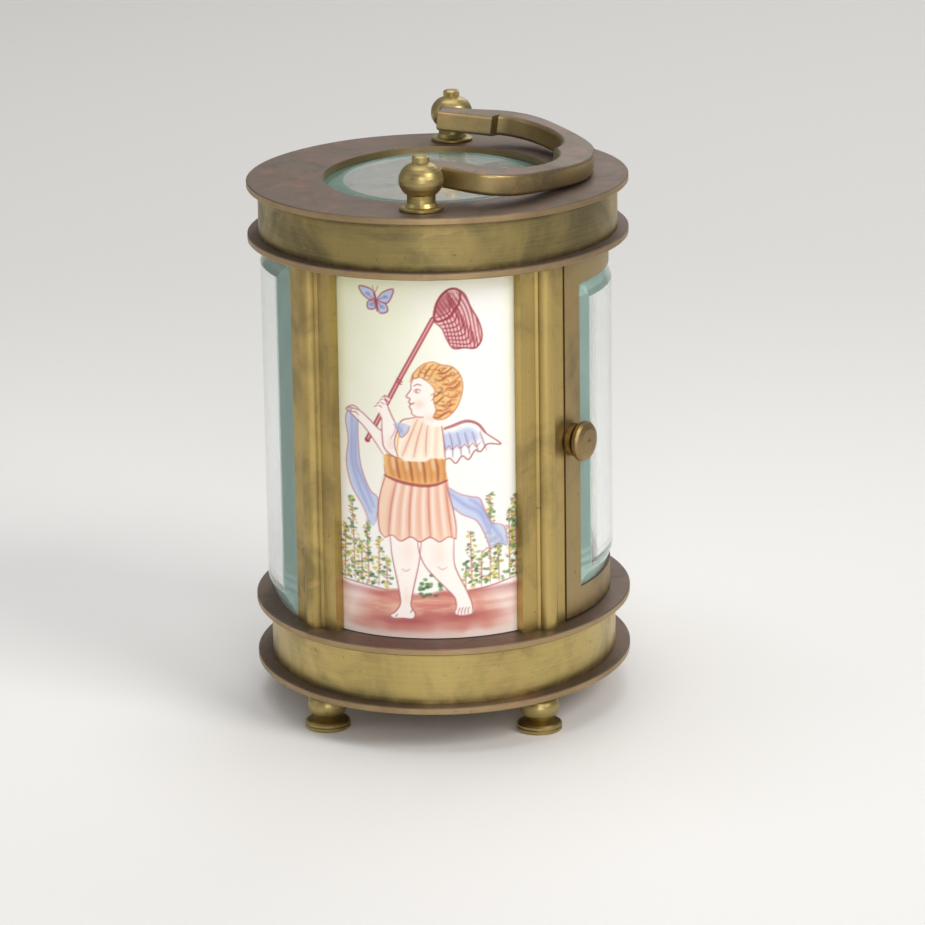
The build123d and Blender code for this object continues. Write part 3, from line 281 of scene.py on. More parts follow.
def glassMaterial(name, node, side):
    # clear pane, faintly smeared, with a sea-green bevel round its outer face
    graph = Graph(name)
    place, normal = graph.place(), graph.place("Normal")
    low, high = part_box(node)
    smear = graph.noise(graph.stretched(place, (1.0, 1.0, 0.4)), 260.0, 3.0, 0.6, 0.8)
    if side == "top":
        oval = graph.stretched(place, (1.0 / high.x, 1.0 / high.y, 0.0))
        reach = graph.node("VectorMath", {"operation": "LENGTH"}, {0: oval}, output=1)
        bevel = reach.rise(*glassLook["topEdge"]) * graph.part(normal, "Z").rise(0.3, 0.5)
    else:
        x, z = graph.part(place, "X"), graph.part(place, "Z")
        border, blend = paneBorders[node], glassLook["blend"]
        ends = graph.sum("MINIMUM", x - low.x, high.x - x) * border["slant"]
        rails = graph.sum("MINIMUM", z - low.z, high.z - z)
        outward = graph.part(normal, "Y") * side
        inside = (ends - border["stile"]).rise(0.0, blend) * (rails - border["rail"]).rise(0.0, blend)
        bevel = (1.0 - inside) * outward.rise(0.15, 0.30)
    clear = graph.shader({"Base Color": (*glassLook["tint"], 1.0), "Transmission Weight": 1.0, "IOR": 1.5,
                          "Roughness": glassLook["rough"] + smear.rise(0.55, 0.8) * 0.03})
    tint = glassLook["topBevel" if side == "top" else "bevel"]
    green = graph.mix(smear.rise(0.3, 0.7), tint, shaded(tint, 0.9))
    edge = graph.shader({"Base Color": green, "Roughness": 0.12 + smear * 0.08, "IOR": 1.5,
                         "Specular IOR Level": 0.25})
    # painted sheen: a whitish layer mixed over the top glass, patchy with the smear, brightens it in place
    # of reflected light
    if side == "top":
        sheen = graph.shader({"Base Color": (*glassLook["sheen"], 1.0), "Roughness": 0.10 + smear * 0.06})
        paintedSheenCover = glassLook["sheenCover"] + smear.rise(0.3, 0.7) * glassLook["sheenCloud"]
        clear = graph.node("MixShader", None, {0: paintedSheenCover, 1: clear, 2: sheen})
    cover = glassLook["topCover" if side == "top" else "bevelCover"]
    pane = graph.node("MixShader", None, {0: bevel * cover, 1: clear, 2: edge})
    lamp = graph.node("LightPath", output="Is Shadow Ray")
    through = graph.node("BsdfTransparent", None, {"Color": (*glassLook["tint"], 1.0)})
    return graph.finish(graph.node("MixShader", None, {0: lamp, 1: pane, 2: through}))


glazeLook = {"ripple": 180.0, "rippleDepth": 0.03 * mm, "rough": 0.16, "coat": 0.35, "coatRough": 0.08,
             "pinhole": 2600.0, "pinholeRange": (0.74, 0.82), "pinholeColour": (0.45, 0.40, 0.34)}


def paintedMaterial():
    # fired enamel painting under a clear glaze
    graph = Graph("paintedPorcelain")
    place = graph.place()
    paint = graph.node("Attribute", {"attribute_name": "paint"}, output=0)
    ripple = graph.noise(place, glazeLook["ripple"], 2.0)
    pinhole = graph.noise(place, glazeLook["pinhole"], 1.0).rise(*glazeLook["pinholeRange"])
    colour = graph.mix(pinhole * 0.25, paint, glazeLook["pinholeColour"])
    return graph.surface({"Base Color": colour, "Roughness": glazeLook["rough"] + ripple * 0.10,
                          "Coat Weight": glazeLook["coat"], "Coat Roughness": glazeLook["coatRough"],
                          "IOR": 1.5,
                          "Normal": graph.bump(ripple + pinhole * 0.1, glazeLook["rippleDepth"])})



enamelLook = {"white": (0.86, 0.845, 0.79), "ivory": (0.80, 0.775, 0.70), "hairline": (0.42, 0.37, 0.30),
              "haze": 220.0, "crack": 130.0, "crackWidth": 0.012, "rough": 0.14, "coat": 0.4,
              "coatRough": 0.06, "hazeDepth": 0.02 * mm}


def enamelMaterial():
    # fired white enamel with hairlines
    graph = Graph("dialEnamel")
    place = graph.place()
    haze = graph.noise(place, enamelLook["haze"], 3.0)
    crack = graph.node("TexVoronoi", {"feature": "DISTANCE_TO_EDGE"},
                       {"Vector": place, "Scale": enamelLook["crack"]})
    hairline = (1.0 - crack.rise(0.0, enamelLook["crackWidth"])) * haze.rise(0.5, 0.65)
    colour = graph.mix(haze.rise(0.3, 0.75), enamelLook["white"], enamelLook["ivory"])
    colour = graph.mix(hairline * 0.5, colour, enamelLook["hairline"])
    return graph.surface({"Base Color": colour, "Roughness": enamelLook["rough"] + haze * 0.10,
                          "Coat Weight": enamelLook["coat"], "Coat Roughness": enamelLook["coatRough"],
                          "Normal": graph.bump(haze, enamelLook["hazeDepth"])})



giltLook = {"bright": (0.86, 0.60, 0.24), "worn": (0.66, 0.42, 0.16), "ground": (0.40, 0.24, 0.09),
            "punch": 1500.0, "punchDepth": 0.03 * mm, "cloud": 140.0, "rough": 0.30}


def giltMaterial():
    # mercury gilding with a punched ground
    graph = Graph("giltMask")
    place = graph.place()
    punch = graph.node("TexVoronoi", None, {"Vector": place, "Scale": giltLook["punch"]})
    cloud = graph.noise(place, giltLook["cloud"], 4.0)
    colour = graph.mix(cloud.rise(0.4, 0.75), giltLook["bright"], giltLook["worn"])
    colour = graph.mix(punch.rise(0.0, 0.35), giltLook["ground"], colour)
    return graph.surface({"Base Color": colour, "Metallic": 1.0,
                          "Roughness": giltLook["rough"] + cloud * 0.15,
                          "Normal": graph.bump(punch, giltLook["punchDepth"])})



stoneLook = {"deep": (0.42, 0.01, 0.05), "pale": (0.70, 0.03, 0.12), "rough": 0.06, "coat": 0.6}
blackLook = {"fired": (0.018, 0.017, 0.020), "worn": (0.060, 0.055, 0.055), "rough": 0.22}


def rubyMaterial():
    # red corundum, a little uneven in depth
    graph = Graph("ruby")
    depth = graph.noise(graph.place(), 1800.0, 2.0)
    colour = graph.mix(depth, stoneLook["deep"], stoneLook["pale"])
    return graph.surface({"Base Color": colour, "Roughness": stoneLook["rough"] + depth * 0.04,
                          "Coat Weight": stoneLook["coat"]})


def inkMaterial():
    # fired black of the dial's figures
    graph = Graph("dialBlack")
    wear = graph.noise(graph.place(), 1700.0, 3.0)
    colour = graph.mix(wear.rise(0.5, 0.8), blackLook["fired"], blackLook["worn"])
    return graph.surface({"Base Color": colour, "Roughness": blackLook["rough"] + wear * 0.15})


def giveMaterial(names, material):
    for name in names:
        node = nodes[name]
        if not node.material_slots:
            node.data.materials.append(material)
        for slot in node.material_slots:
            slot.material = material


movementFinishes = {
    "plateBrass": {"colour": (0.80, 0.59, 0.25), "rough": 0.24, "grain": (90.0, 90.0, 3000.0),
                   "nodes": ["front_plate", "back_plate", "movement_seat"]},
    "platformGilt": {"colour": (0.88, 0.66, 0.30), "rough": 0.30, "grain": (3000.0, 90.0, 3000.0),
                     "nodes": ["platform", "balance_cock", "escapement_bridge", "barrel"]},
    "wheelBrass": {"colour": (0.84, 0.63, 0.27), "rough": 0.20, "grain": (2600.0, 2600.0, 2600.0),
                   "nodes": ["centre_wheel", "third_wheel", "contrate_wheel", "escape_wheel", "hour_wheel",
                             "minute_wheel", "balance_wheel", "movement_pillars", "dial_posts"]},
}
steelFinishes = {
    "polishedSteel": {"colour": (0.62, 0.61, 0.59), "rough": 0.18,
                      "nodes": ["barrel_arbor", "ratchet_wheel", "click", "click_spring", "cannon_pinion",
                                "pallet_lever", "regulator", "door_hinge_pins", "hand_nut"]},
    "bluedSteel": {"colour": (0.035, 0.060, 0.22), "rough": 0.16,
                   "nodes": ["hour_hand", "minute_hand", "movement_screws", "cornice_screws", "hairspring"]},
    "springSteel": {"colour": (0.34, 0.34, 0.36), "rough": 0.28, "nodes": ["mainspring"]},
}


def dressFrame():
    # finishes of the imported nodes, apart from the two panels, which are painted further down
    def brass(name, look, box=None):
        giveMaterial([name], brassMaterial(name + "Finish", antiqueBrass[look], box))

    brass("base_band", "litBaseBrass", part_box("base_band"))
    brass("cornice_band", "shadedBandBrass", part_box("cornice_band"))
    for name in ("base_bottom_flange", "base_top_flange", "cornice_lower_flange", "top_plate"):
        brass(name, "flangeBrass")
    pillars = [name for name in nodes if name.startswith("pillar_")]
    giveMaterial(pillars, brassMaterial("pillarFinish", antiqueBrass["pillarBrass"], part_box(pillars[0])))
    turned = [name for name in nodes if name.startswith(("foot_", "finial_"))] + ["handle_pivot_pins"]
    giveMaterial(turned, brassMaterial("turnedFinish", antiqueBrass["turnedBrass"]))
    brass("handle", "handleBrass")
    brass("door_frame", "doorBrass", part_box("door_frame"))
    brass("door_knob", "knobBrass")
    inner = brassMaterial("innerFinish", antiqueBrass["pillarBrass"])
    giveMaterial(["latch_finger", "top_glass_retainer"], inner)

    for name, look in movementFinishes.items():
        giveMaterial(look["nodes"], movementMaterial(name, look["colour"], look["rough"], look["grain"]))
    for name, look in steelFinishes.items():
        giveMaterial(look["nodes"], steelMaterial(name, look["colour"], look["rough"]))

    giveMaterial(["front_glass"], glassMaterial("frontGlass", "front_glass", -1.0))
    giveMaterial(["door_glass"], glassMaterial("doorGlass", "door_glass", 1.0))
    giveMaterial(["top_glass"], glassMaterial("topGlass", "top_glass", "top"))
    giveMaterial(["dial"], enamelMaterial())
    giveMaterial(["dial_mask"], giltMaterial())
    print("frame dressed")


# painting on porcelain

palette = {   # display values, 0 to 255
    "paper": (249, 247, 243), "spring": (226, 231, 190), "dawn": (240, 234, 214), "lilac": (232, 230, 236),
    "skin": (252, 243, 238), "blush": (240, 205, 190), "line": (158, 66, 74), "fineLine": (184, 104, 108),
    "crimson": (148, 32, 48), "net": (214, 120, 128), "pole": (226, 158, 158),
    "sky": (186, 199, 234), "deepSky": (140, 158, 212), "violet": (170, 150, 190),
    "gold": (232, 172, 84), "rust": (188, 92, 44), "brown": (132, 58, 34), "peach": (244, 206, 178),
    "rose": (196, 110, 98), "clay": (216, 142, 124), "sand": (240, 214, 184), "wine": (150, 48, 56),
    "leaf": (104, 148, 82), "deepLeaf": (64, 110, 66), "lime": (206, 196, 92), "stem": (168, 84, 74),
    "cream": (251, 239, 222), "straw": (243, 205, 132), "stone": (222, 218, 224), "shade": (168, 160, 178),
}


def latticeNoise(x, y, seed):
    # smooth noise from 0 to 1 on a plane
    size = 64
    lattice = np.random.default_rng(seed).random((size, size))
    left, low = np.floor(x).astype(int), np.floor(y).astype(int)
    fx, fy = x - left, y - low
    fx, fy = fx * fx * (3 - 2 * fx), fy * fy * (3 - 2 * fy)
    a, b = lattice[left % size, low % size], lattice[(left + 1) % size, low % size]
    c, d = lattice[left % size, (low + 1) % size], lattice[(left + 1) % size, (low + 1) % size]
    return (a * (1 - fx) + b * fx) * (1 - fy) + (c * (1 - fx) + d * fx) * fy


def curved(points, closed=False, steps=7):
    # a smooth line through the points
    points = np.array(points, float)
    if closed:
        padded = np.vstack([points[-1], points, points[0], points[1]])
    else:
        padded = np.vstack([2 * points[0] - points[1], points, 2 * points[-1] - points[-2]])
    share = np.linspace(0, 1, steps, endpoint=False)[:, None]
    line = []
    for a, b, c, d in zip(padded, padded[1:], padded[2:], padded[3:]):
        line.append(0.5 * (2 * b + (c - a) * share + (2 * a - 5 * b + 4 * c - d) * share ** 2
                           + (3 * b - a - 3 * c + d) * share ** 3))
    if not closed:
        line.append(points[-1:])
    return np.vstack(line)


class Painting:
    # colours over a panel, in millimetres across from the middle and up from the foot
    def __init__(self, across, up):
        self.across, self.up = across, up
        self.colour = np.tile(np.array(palette["paper"], float), (len(across), 1))

    def wash(self, mask, colour):
        self.colour += (np.array(palette[colour], float) - self.colour) * np.clip(mask, 0, 1)[:, None]

    def near(self, line, reach, closed=False):
        # (points in reach, their distance to the line, share along it)
        low, high = line.min(0) - reach, line.max(0) + reach
        inBox = (self.across > low[0]) & (self.across < high[0]) & (self.up > low[1]) & (self.up < high[1])
        chosen = np.flatnonzero(inBox)
        x, y = self.across[chosen], self.up[chosen]
        best, along = np.full(len(chosen), 1e9), np.zeros(len(chosen))
        ends = np.roll(line, -1, 0) if closed else line[1:]
        for index, (a, b) in enumerate(zip(line, ends)):
            span = b - a
            share = np.clip(((x - a[0]) * span[0] + (y - a[1]) * span[1]) / max(span @ span, 1e-9), 0, 1)
            gap = np.hypot(x - a[0] - share * span[0], y - a[1] - share * span[1])
            closer = gap < best
            best[closer] = gap[closer]
            along[closer] = (index + share[closer]) / len(ends)
        return chosen, best, along

    def stroke(self, points, width, colour, strength=1.0, soft=0.07, taper=0.5, smooth=True):
        line = curved(points) if smooth else np.array(points, float)
        chosen, gap, along = self.near(line, width + soft)
        half = width / 2 * (1 - taper * np.abs(2 * along - 1) ** 3)
        mask = np.zeros(len(self.across))
        mask[chosen] = np.clip((half + soft - gap) / (2 * soft), 0, 1) * strength
        self.wash(mask, colour)

    def strokes(self, lines, width, colour, strength=1.0, **more):
        for line in lines:
            self.stroke(line, width, colour, strength, **more)

    def inside(self, points, soft=0.10, smooth=True):
        line = curved(points, closed=True) if smooth else np.array(points, float)
        chosen, gap, _ = self.near(line, soft, closed=True)
        x, y = self.across[chosen], self.up[chosen]
        odd = np.zeros(len(chosen), bool)
        for a, b in zip(line, np.roll(line, -1, 0)):
            crosses = (a[1] > y) != (b[1] > y)
            rise = b[1] - a[1] if b[1] != a[1] else 1e-9
            odd ^= crosses & (x < a[0] + (b[0] - a[0]) * (y - a[1]) / rise)
        mask = np.zeros(len(self.across))
        mask[chosen] = np.clip(0.5 + np.where(odd, gap, -gap) / (2 * soft), 0, 1)
        return mask

    def area(self, points, colour, strength=1.0, soft=0.10, smooth=True):
        mask = self.inside(points, soft, smooth)
        self.wash(mask * strength, colour)
        return mask

    def dab(self, x, y, width, height, colour, strength=1.0, tilt=0.0):
        c, s = math.cos(tilt), math.sin(tilt)
        dx, dy = self.across - x, self.up - y
        gap = np.hypot((dx * c + dy * s) / width, (dy * c - dx * s) / height)
        self.wash(np.clip((1.25 - gap) / 0.5, 0, 1) * strength, colour)

    def blur(self, x, y, width, height, colour, strength=1.0):
        gap = ((self.across - x) / width) ** 2 + ((self.up - y) / height) ** 2
        self.wash(np.exp(-gap) * strength, colour)

    def finished(self):
        share = np.clip(self.colour / 255.0, 0, 1)
        return np.where(share <= 0.04045, share / 12.92, ((share + 0.055) / 1.055) ** 2.4)


def paintSky(art, tall):
    # warm paper with a spring-green bloom at the upper left and a faint one down the right edge
    drift = latticeNoise(art.across / 3.1, art.up / 4.3, 11) * 0.4 + 0.75
    left = np.clip((5.0 - art.across) / 15.0, 0, 1) * np.clip((art.up - 0.42 * tall) / (0.42 * tall), 0, 1)
    art.wash(left * drift * 0.85, "spring")
    top = np.clip((art.up - 0.93 * tall) / (0.07 * tall), 0, 1)
    art.wash(top * drift * 0.55, "spring")
    side = np.clip((np.abs(art.across) - 9.6) / 2.2, 0, 1)
    side *= np.clip((art.up - 0.25 * tall) / (0.5 * tall), 0, 1)
    art.wash(side * drift * 0.55, "spring")
    art.blur(-6.5, 0.50 * tall, 5.5, 7.0, "dawn", 0.30)
    art.blur(6.0, 0.36 * tall, 7.0, 6.0, "lilac", 0.45)


def paintGround(art, feet):
    # red earth in level strokes, darkest under the feet, fading out at the foot of the plate
    rim = 6.5 + 0.5 * np.abs(art.across) / 11 - 0.5 * latticeNoise(art.across / 2.0, art.up * 0, 21)
    ground = np.clip((rim - art.up) / 0.5, 0, 1)
    rough = latticeNoise(art.across / 3.2, art.up * 1.6, 22)
    fine = latticeNoise(art.across / 1.1, art.up * 4.5, 23)
    fade = np.clip((art.up - 0.35 - 0.9 * latticeNoise(art.across / 1.5, art.up * 0, 24)) / 1.6, 0, 1)
    corner = 1 - np.clip((np.abs(art.across) - 8.6 + 0.5 * art.up) / 3.0, 0, 1) * 0.7
    cover = ground * (0.25 + 0.75 * fade) * corner
    art.wash(cover * 0.95, "clay")
    art.wash(cover * np.clip(rough * 1.7 - 0.55, 0, 1) * 0.75, "rose")
    art.wash(cover * np.clip(fine * 1.8 - 0.95, 0, 1) * 0.50, "sand")
    art.wash(ground * fade * np.clip((art.up - 5.0) / 1.5, 0, 1) * 0.45, "wine")
    for x, y, width in feet:
        art.blur(x, y, width, 0.75, "wine", 0.80)
        art.blur(x + 0.8, y - 0.9, width * 1.3, 0.8, "rose", 0.60)
    art.strokes([[(-11.2, 6.9), (-8, 6.6), (-5, 6.2)], [(5.4, 6.2), (8, 6.6), (11, 7.3)]], 0.16, "line",
                0.8)


def paintPlant(art, x, foot, top, dice):
    # a red stem with twigs, and leaves dabbed on in two greens and a yellow
    lean = dice.uniform(-0.25, 0.25)
    art.stroke([(x, foot), (x + lean * 0.4, (foot + top) / 2), (x + lean, top)], 0.15, "stem", 0.75)
    height = foot + 0.3
    while height < top:
        share = (height - foot) / (top - foot)
        spread = 0.95 - 0.55 * share
        for _ in range(2):
            side = dice.uniform(-spread, spread)
            tone = dice.choice(["leaf", "deepLeaf", "lime", "leaf", "lime"])
            art.dab(x + lean * share + side, height + dice.uniform(-0.25, 0.25), dice.uniform(0.16, 0.34),
                    dice.uniform(0.12, 0.24), tone, dice.uniform(0.55, 0.95), dice.uniform(-0.7, 0.7))
        if dice.random() < 0.75:
            reach = dice.choice([-1, 1]) * dice.uniform(0.25, 0.6)
            start = (x + lean * share, height)
            art.stroke([start, (start[0] + reach, height + dice.uniform(0.05, 0.4))], 0.13, "stem", 0.8,
                       smooth=False)
        height += 0.46


def paintHedge(art, plants, seed):
    dice = np.random.default_rng(seed)
    for x, foot, top in plants:
        paintPlant(art, x, foot, top, dice)


def paintFolds(art, mask, lines, width, colour, strength):
    # soft dark strokes kept inside a cloth
    before = art.colour.copy()
    art.strokes(lines, width, colour, strength, soft=width * 0.45)
    art.colour = before + (art.colour - before) * mask[:, None]


def paintButterfly(art, x, y, size, tilt):
    c, s = math.cos(tilt), math.sin(tilt)

    def at(*points):
        return [(x + size * (px * c - py * s), y + size * (px * s + py * c)) for px, py in points]

    wings = [at((0.1, 0.1), (0.7, 1.1), (1.9, 1.7), (1.7, 0.5), (1.2, -0.1)),
             at((0.1, 0.0), (1.2, -0.2), (1.5, -1.0), (0.6, -1.3)),
             at((-0.1, 0.2), (-0.6, 1.2), (-2.1, 1.3), (-1.7, 0.5), (-0.8, 0.0)),
             at((-0.1, 0.0), (-0.9, -0.3), (-0.8, -1.1), (0.0, -0.9))]
    for wing in wings:
        art.area(wing, "sky", 0.95)
        art.stroke(wing + wing[:1], 0.17, "crimson", 0.75)
    for wing in wings:
        middle = np.mean(wing, 0)
        art.dab(middle[0], middle[1], 0.34 * size, 0.22 * size, "deepSky", 0.8, tilt)
        art.stroke([at((0, 0))[0], tuple(middle)], 0.12, "line", 0.7, smooth=False)
    art.stroke(at((-0.25, 0.9), (0.0, 0.1), (0.3, -1.2)), 0.28, "wine", 0.9)
    art.strokes([at((-0.2, 0.9), (-0.6, 1.7)), at((-0.15, 0.9), (0.1, 1.8))], 0.10, "line", 0.7,
                smooth=False)


def paintDrapery(art, outline, folds, edges):
    mask = art.area(outline, "sky", 0.80)
    paintFolds(art, mask, folds, 0.55, "deepSky", 0.55)
    paintFolds(art, mask, folds, 0.20, "violet", 0.40)
    art.strokes(edges, 0.14, "fineLine", 0.85)


def paintNet(art):
    # hoop, bag and the long pole
    bag = [(1.3, 42.5), (1.7, 44.0), (2.6, 45.4), (3.9, 45.9), (5.2, 45.2), (6.0, 43.4), (7.0, 41.4),
           (7.35, 39.4), (6.6, 38.1), (5.2, 38.2), (3.8, 38.2), (3.0, 39.4), (2.4, 40.8), (1.5, 41.7)]
    mask = art.area(bag, "net", 0.36)
    rings = [[(2.9 + 0.42 * k, 46.2 - 0.75 * k), (3.4 + 0.36 * k, 43.1 - 0.62 * k),
              (1.3 + 0.30 * k, 42.1 - 0.46 * k)]
             for k in range(12)]
    ribs = [[(1.3 + 0.42 * k, 43.7 + 0.26 * k), (2.8 + 0.40 * k, 41.2 + 0.24 * k), (3.5 + 0.42 * k, 38.0)]
            for k in range(10)]
    paintFolds(art, mask, rings + ribs, 0.17, "crimson", 0.90)
    shadow = [[(1.7, 43.2), (2.5, 44.6), (3.6, 45.2)], [(2.1, 42.6), (3.0, 43.7), (4.1, 44.4)]]
    paintFolds(art, mask, shadow, 0.9, "crimson", 0.55)
    art.stroke(bag + bag[:1], 0.20, "crimson", 0.85)
    hoop = [(1.4, 42.2), (1.9, 44.3), (3.3, 45.8), (4.6, 45.6), (4.6, 44.1), (3.4, 42.4), (2.0, 41.7),
            (1.4, 42.2)]
    art.stroke(hoop, 0.26, "crimson", 0.9, taper=0)
    pole = [(1.25, 42.0), (-3.1, 34.2), (-7.5, 25.9)]
    art.stroke(pole, 0.64, "crimson", 0.90, taper=0, smooth=False)
    art.stroke(pole, 0.26, "pole", 0.95, taper=0, smooth=False)
    art.strokes([[(-3.45, 34.25), (-2.7, 33.85)], [(-3.55, 33.9), (-2.8, 33.5)]], 0.16, "crimson", 0.9,
                smooth=False)
    art.stroke([(-7.75, 26.1), (-7.2, 25.7)], 0.22, "crimson", 0.9, smooth=False)


def paintWing(art):
    wing = [(1.5, 27.4), (3.3, 27.9), (5.2, 28.5), (6.6, 28.1), (7.6, 26.9), (9.5, 25.2), (7.9, 25.4),
            (7.0, 24.5), (6.3, 24.7), (5.5, 23.6), (4.7, 24.1), (3.9, 23.2), (3.1, 23.9), (2.2, 23.6),
            (1.7, 24.8)]
    mask = art.area(wing, "paper", 1.0)
    inner = [(1.7, 27.0), (3.5, 27.3), (5.4, 27.8), (6.5, 27.2), (6.8, 26.2), (5.4, 25.6), (3.8, 25.2),
             (1.9, 25.0)]
    art.wash(art.inside(inner, 0.35) * 0.85, "sky")
    feathers = [[(2.2 + k * 0.95, 27.2 - k * 0.02), (2.5 + k * 0.98, 25.6),
                 (2.5 + k * 1.05, 23.9 + k * 0.14)]
                for k in range(6)]
    paintFolds(art, mask, feathers, 0.30, "deepSky", 0.45)
    art.strokes(feathers, 0.11, "fineLine", 0.8)
    scallops = [[(2.0 + k, 25.5 + 0.06 * k), (2.5 + k, 25.0 + 0.06 * k), (3.0 + k, 25.5 + 0.06 * k)]
                for k in range(5)]
    art.strokes(scallops, 0.11, "line", 0.7)
    art.stroke(wing + wing[:1], 0.17, "line", 0.9)
    art.stroke([(1.5, 27.5), (3.3, 28.1), (5.2, 28.7), (6.7, 28.2), (7.7, 26.9)], 0.26, "crimson", 0.65)


def paintHead(art):
    # a head turned left, with a plain profile and short curls
    face = [(-1.25, 34.6), (-1.62, 33.6), (-1.66, 32.9), (-2.25, 32.0), (-1.80, 31.7), (-1.95, 31.25),
            (-1.72, 31.0), (-1.88, 30.65), (-1.62, 30.2), (-1.55, 29.7), (-0.9, 29.35), (-0.1, 29.3),
            (0.3, 28.4), (2.3, 28.2), (2.6, 30.5), (3.4, 32.5), (2.6, 35.0), (0.4, 35.6)]
    art.area(face, "skin", 1.0)
    art.blur(-0.6, 31.0, 0.65, 0.55, "blush", 0.65)
    art.blur(0.7, 29.2, 1.1, 0.5, "blush", 0.45)
    art.stroke(face[:12], 0.15, "line", 0.85)
    hair = [(-1.75, 33.9), (-1.2, 35.1), (-0.2, 36.1), (1.1, 36.5), (2.3, 36.1), (3.6, 35.8), (4.6, 34.7),
            (4.9, 33.2), (4.6, 31.6), (3.9, 30.2), (2.6, 29.1), (1.2, 29.2), (1.5, 30.3), (1.2, 31.6),
            (1.4, 32.8), (0.7, 33.8), (-0.4, 34.5), (-1.2, 34.3)]
    mask = art.area(hair, "straw", 0.95)
    art.wash(mask * latticeNoise(art.across * 1.3, art.up * 1.3, 31) * 0.22, "rust")
    dice = np.random.default_rng(32)
    locks = []
    for k in range(20):   # short combed locks, from the parting outward
        x, y, turn = 1.9 + dice.uniform(-0.4, 2.0), 29.6 + 0.32 * k, dice.uniform(-0.35, 0.25)
        reach = dice.uniform(0.6, 1.1)
        locks.append([(x - reach, y - 0.25 + turn), (x, y - 0.32), (x + reach, y + 0.30 - turn)])
    crown = [[(-1.5 + 0.75 * k, 34.3), (-1.2 + 0.8 * k, 35.2), (-0.5 + 0.85 * k, 36.2)] for k in range(4)]
    paintFolds(art, mask, locks + crown, 0.24, "rust", 0.70)
    paintFolds(art, mask, locks[::3] + crown[::2], 0.14, "brown", 0.65)
    curls = [(-0.9, 34.7), (0.1, 35.4), (1.2, 35.7), (2.4, 35.3), (3.5, 34.8), (4.1, 33.7), (4.2, 32.4),
             (3.8, 31.1), (2.9, 30.0), (1.8, 30.0), (2.2, 31.2), (2.9, 32.4), (2.0, 33.0), (1.4, 34.2),
             (2.7, 33.9), (0.4, 34.6)]
    for x, y in curls:
        turn = dice.uniform(0, 6)
        loop = [(x + (0.62 - 0.09 * k) * math.cos(turn + k * 0.9),
                 y + (0.50 - 0.07 * k) * math.sin(turn + k * 0.9))
                for k in range(6)]
        art.stroke(loop, 0.14, "rust" if dice.random() < 0.6 else "brown", 0.65)
        art.stroke([(px + 0.12, py + 0.12) for px, py in loop[:4]], 0.13, "sand", 0.7)
    art.stroke(hair + hair[:1], 0.15, "rust", 0.7)
    lid = [(-1.25, 32.75), (-0.85, 32.95), (-0.4, 32.8)]
    brow = [(-1.3, 33.35), (-0.8, 33.6), (-0.3, 33.45)]
    art.strokes([lid, brow], 0.13, "line", 0.85)
    art.stroke([(-1.2, 32.6), (-0.85, 32.45), (-0.5, 32.6)], 0.10, "fineLine", 0.8)
    art.dab(-0.95, 32.65, 0.12, 0.14, "brown", 0.85)
    art.stroke([(-1.85, 31.1), (-1.5, 31.05), (-1.25, 31.15)], 0.15, "crimson", 0.8)
    art.stroke([(0.85, 32.1), (1.15, 32.4), (1.25, 31.9), (0.95, 31.5)], 0.12, "fineLine", 0.8)


def paintArms(art):
    farArm = [(-3.6, 26.2), (-4.6, 24.9), (-5.4, 24.2), (-6.4, 25.7), (-7.7, 27.4), (-8.9, 28.5),
              (-9.7, 29.2), (-9.4, 29.8), (-8.4, 29.6), (-7.2, 28.7), (-5.9, 27.5), (-4.6, 26.9)]
    art.area(farArm, "skin", 1.0)
    art.strokes([farArm[2:8], farArm[7:12]], 0.14, "line", 0.85)
    art.strokes([[(-9.7, 29.2), (-10.3, 29.5), (-10.0, 29.8), (-9.2, 29.8)],
                 [(-10.1, 29.9), (-9.3, 30.15), (-8.5, 29.8)], [(-9.6, 29.3), (-9.0, 29.35), (-8.6, 29.0)]],
                0.13, "line", 0.85)
    nearArm = [(-5.9, 31.3), (-6.1, 30.2), (-5.5, 28.9), (-5.5, 27.0), (-5.3, 25.2), (-4.3, 24.2),
               (-2.9, 23.7), (-0.6, 23.8), (0.2, 26.2), (-0.9, 28.4), (-2.6, 28.9), (-3.6, 28.2),
               (-4.2, 29.4), (-4.6, 30.4), (-5.1, 31.4)]
    art.area(nearArm, "skin", 1.0)
    sleeve = [(0.6, 29.0), (-1.2, 29.25), (-2.9, 28.8), (-3.5, 27.4), (-3.9, 25.7), (-3.4, 23.8),
              (-1.5, 23.5), (0.6, 23.8), (1.2, 26.4)]
    cloth = art.area(sleeve, "cream", 1.0)
    creases = [[(-0.9, 29.0), (-1.9, 26.6), (-2.9, 24.2)], [(-0.2, 28.6), (-0.9, 26.4), (-1.4, 24.1)],
               [(0.4, 28.2), (0.2, 26.4), (0.1, 24.3)]]
    paintFolds(art, cloth, creases, 0.75, "peach", 0.80)
    paintFolds(art, cloth, creases, 0.15, "fineLine", 0.55)
    art.stroke(sleeve[1:6], 0.16, "line", 0.85)
    art.stroke([(-3.6, 24.2), (-3.5, 25.8), (-3.2, 27.2), (-2.7, 28.2)], 0.22, "gold", 0.8)
    art.blur(-4.4, 25.6, 0.6, 0.8, "blush", 0.5)
    art.strokes([nearArm[2:7], nearArm[11:14]], 0.15, "line", 0.85)
    art.stroke([(-4.4, 26.3), (-3.9, 27.2), (-3.6, 28.1)], 0.12, "fineLine", 0.7)
    for k in range(4):   # fingers round the pole
        x, y = -6.15 + 0.32 * k, 30.2 + 0.42 * k
        art.stroke([(x - 0.25, y + 0.1), (x + 0.25, y + 0.28), (x + 0.75, y - 0.05)], 0.40, "skin", 1.0)
        art.stroke([(x - 0.3, y + 0.15), (x + 0.2, y + 0.45), (x + 0.7, y + 0.15)], 0.12, "line", 0.85)
    art.stroke([(-4.5, 30.0), (-4.9, 31.2), (-5.1, 32.0)], 0.13, "line", 0.8)


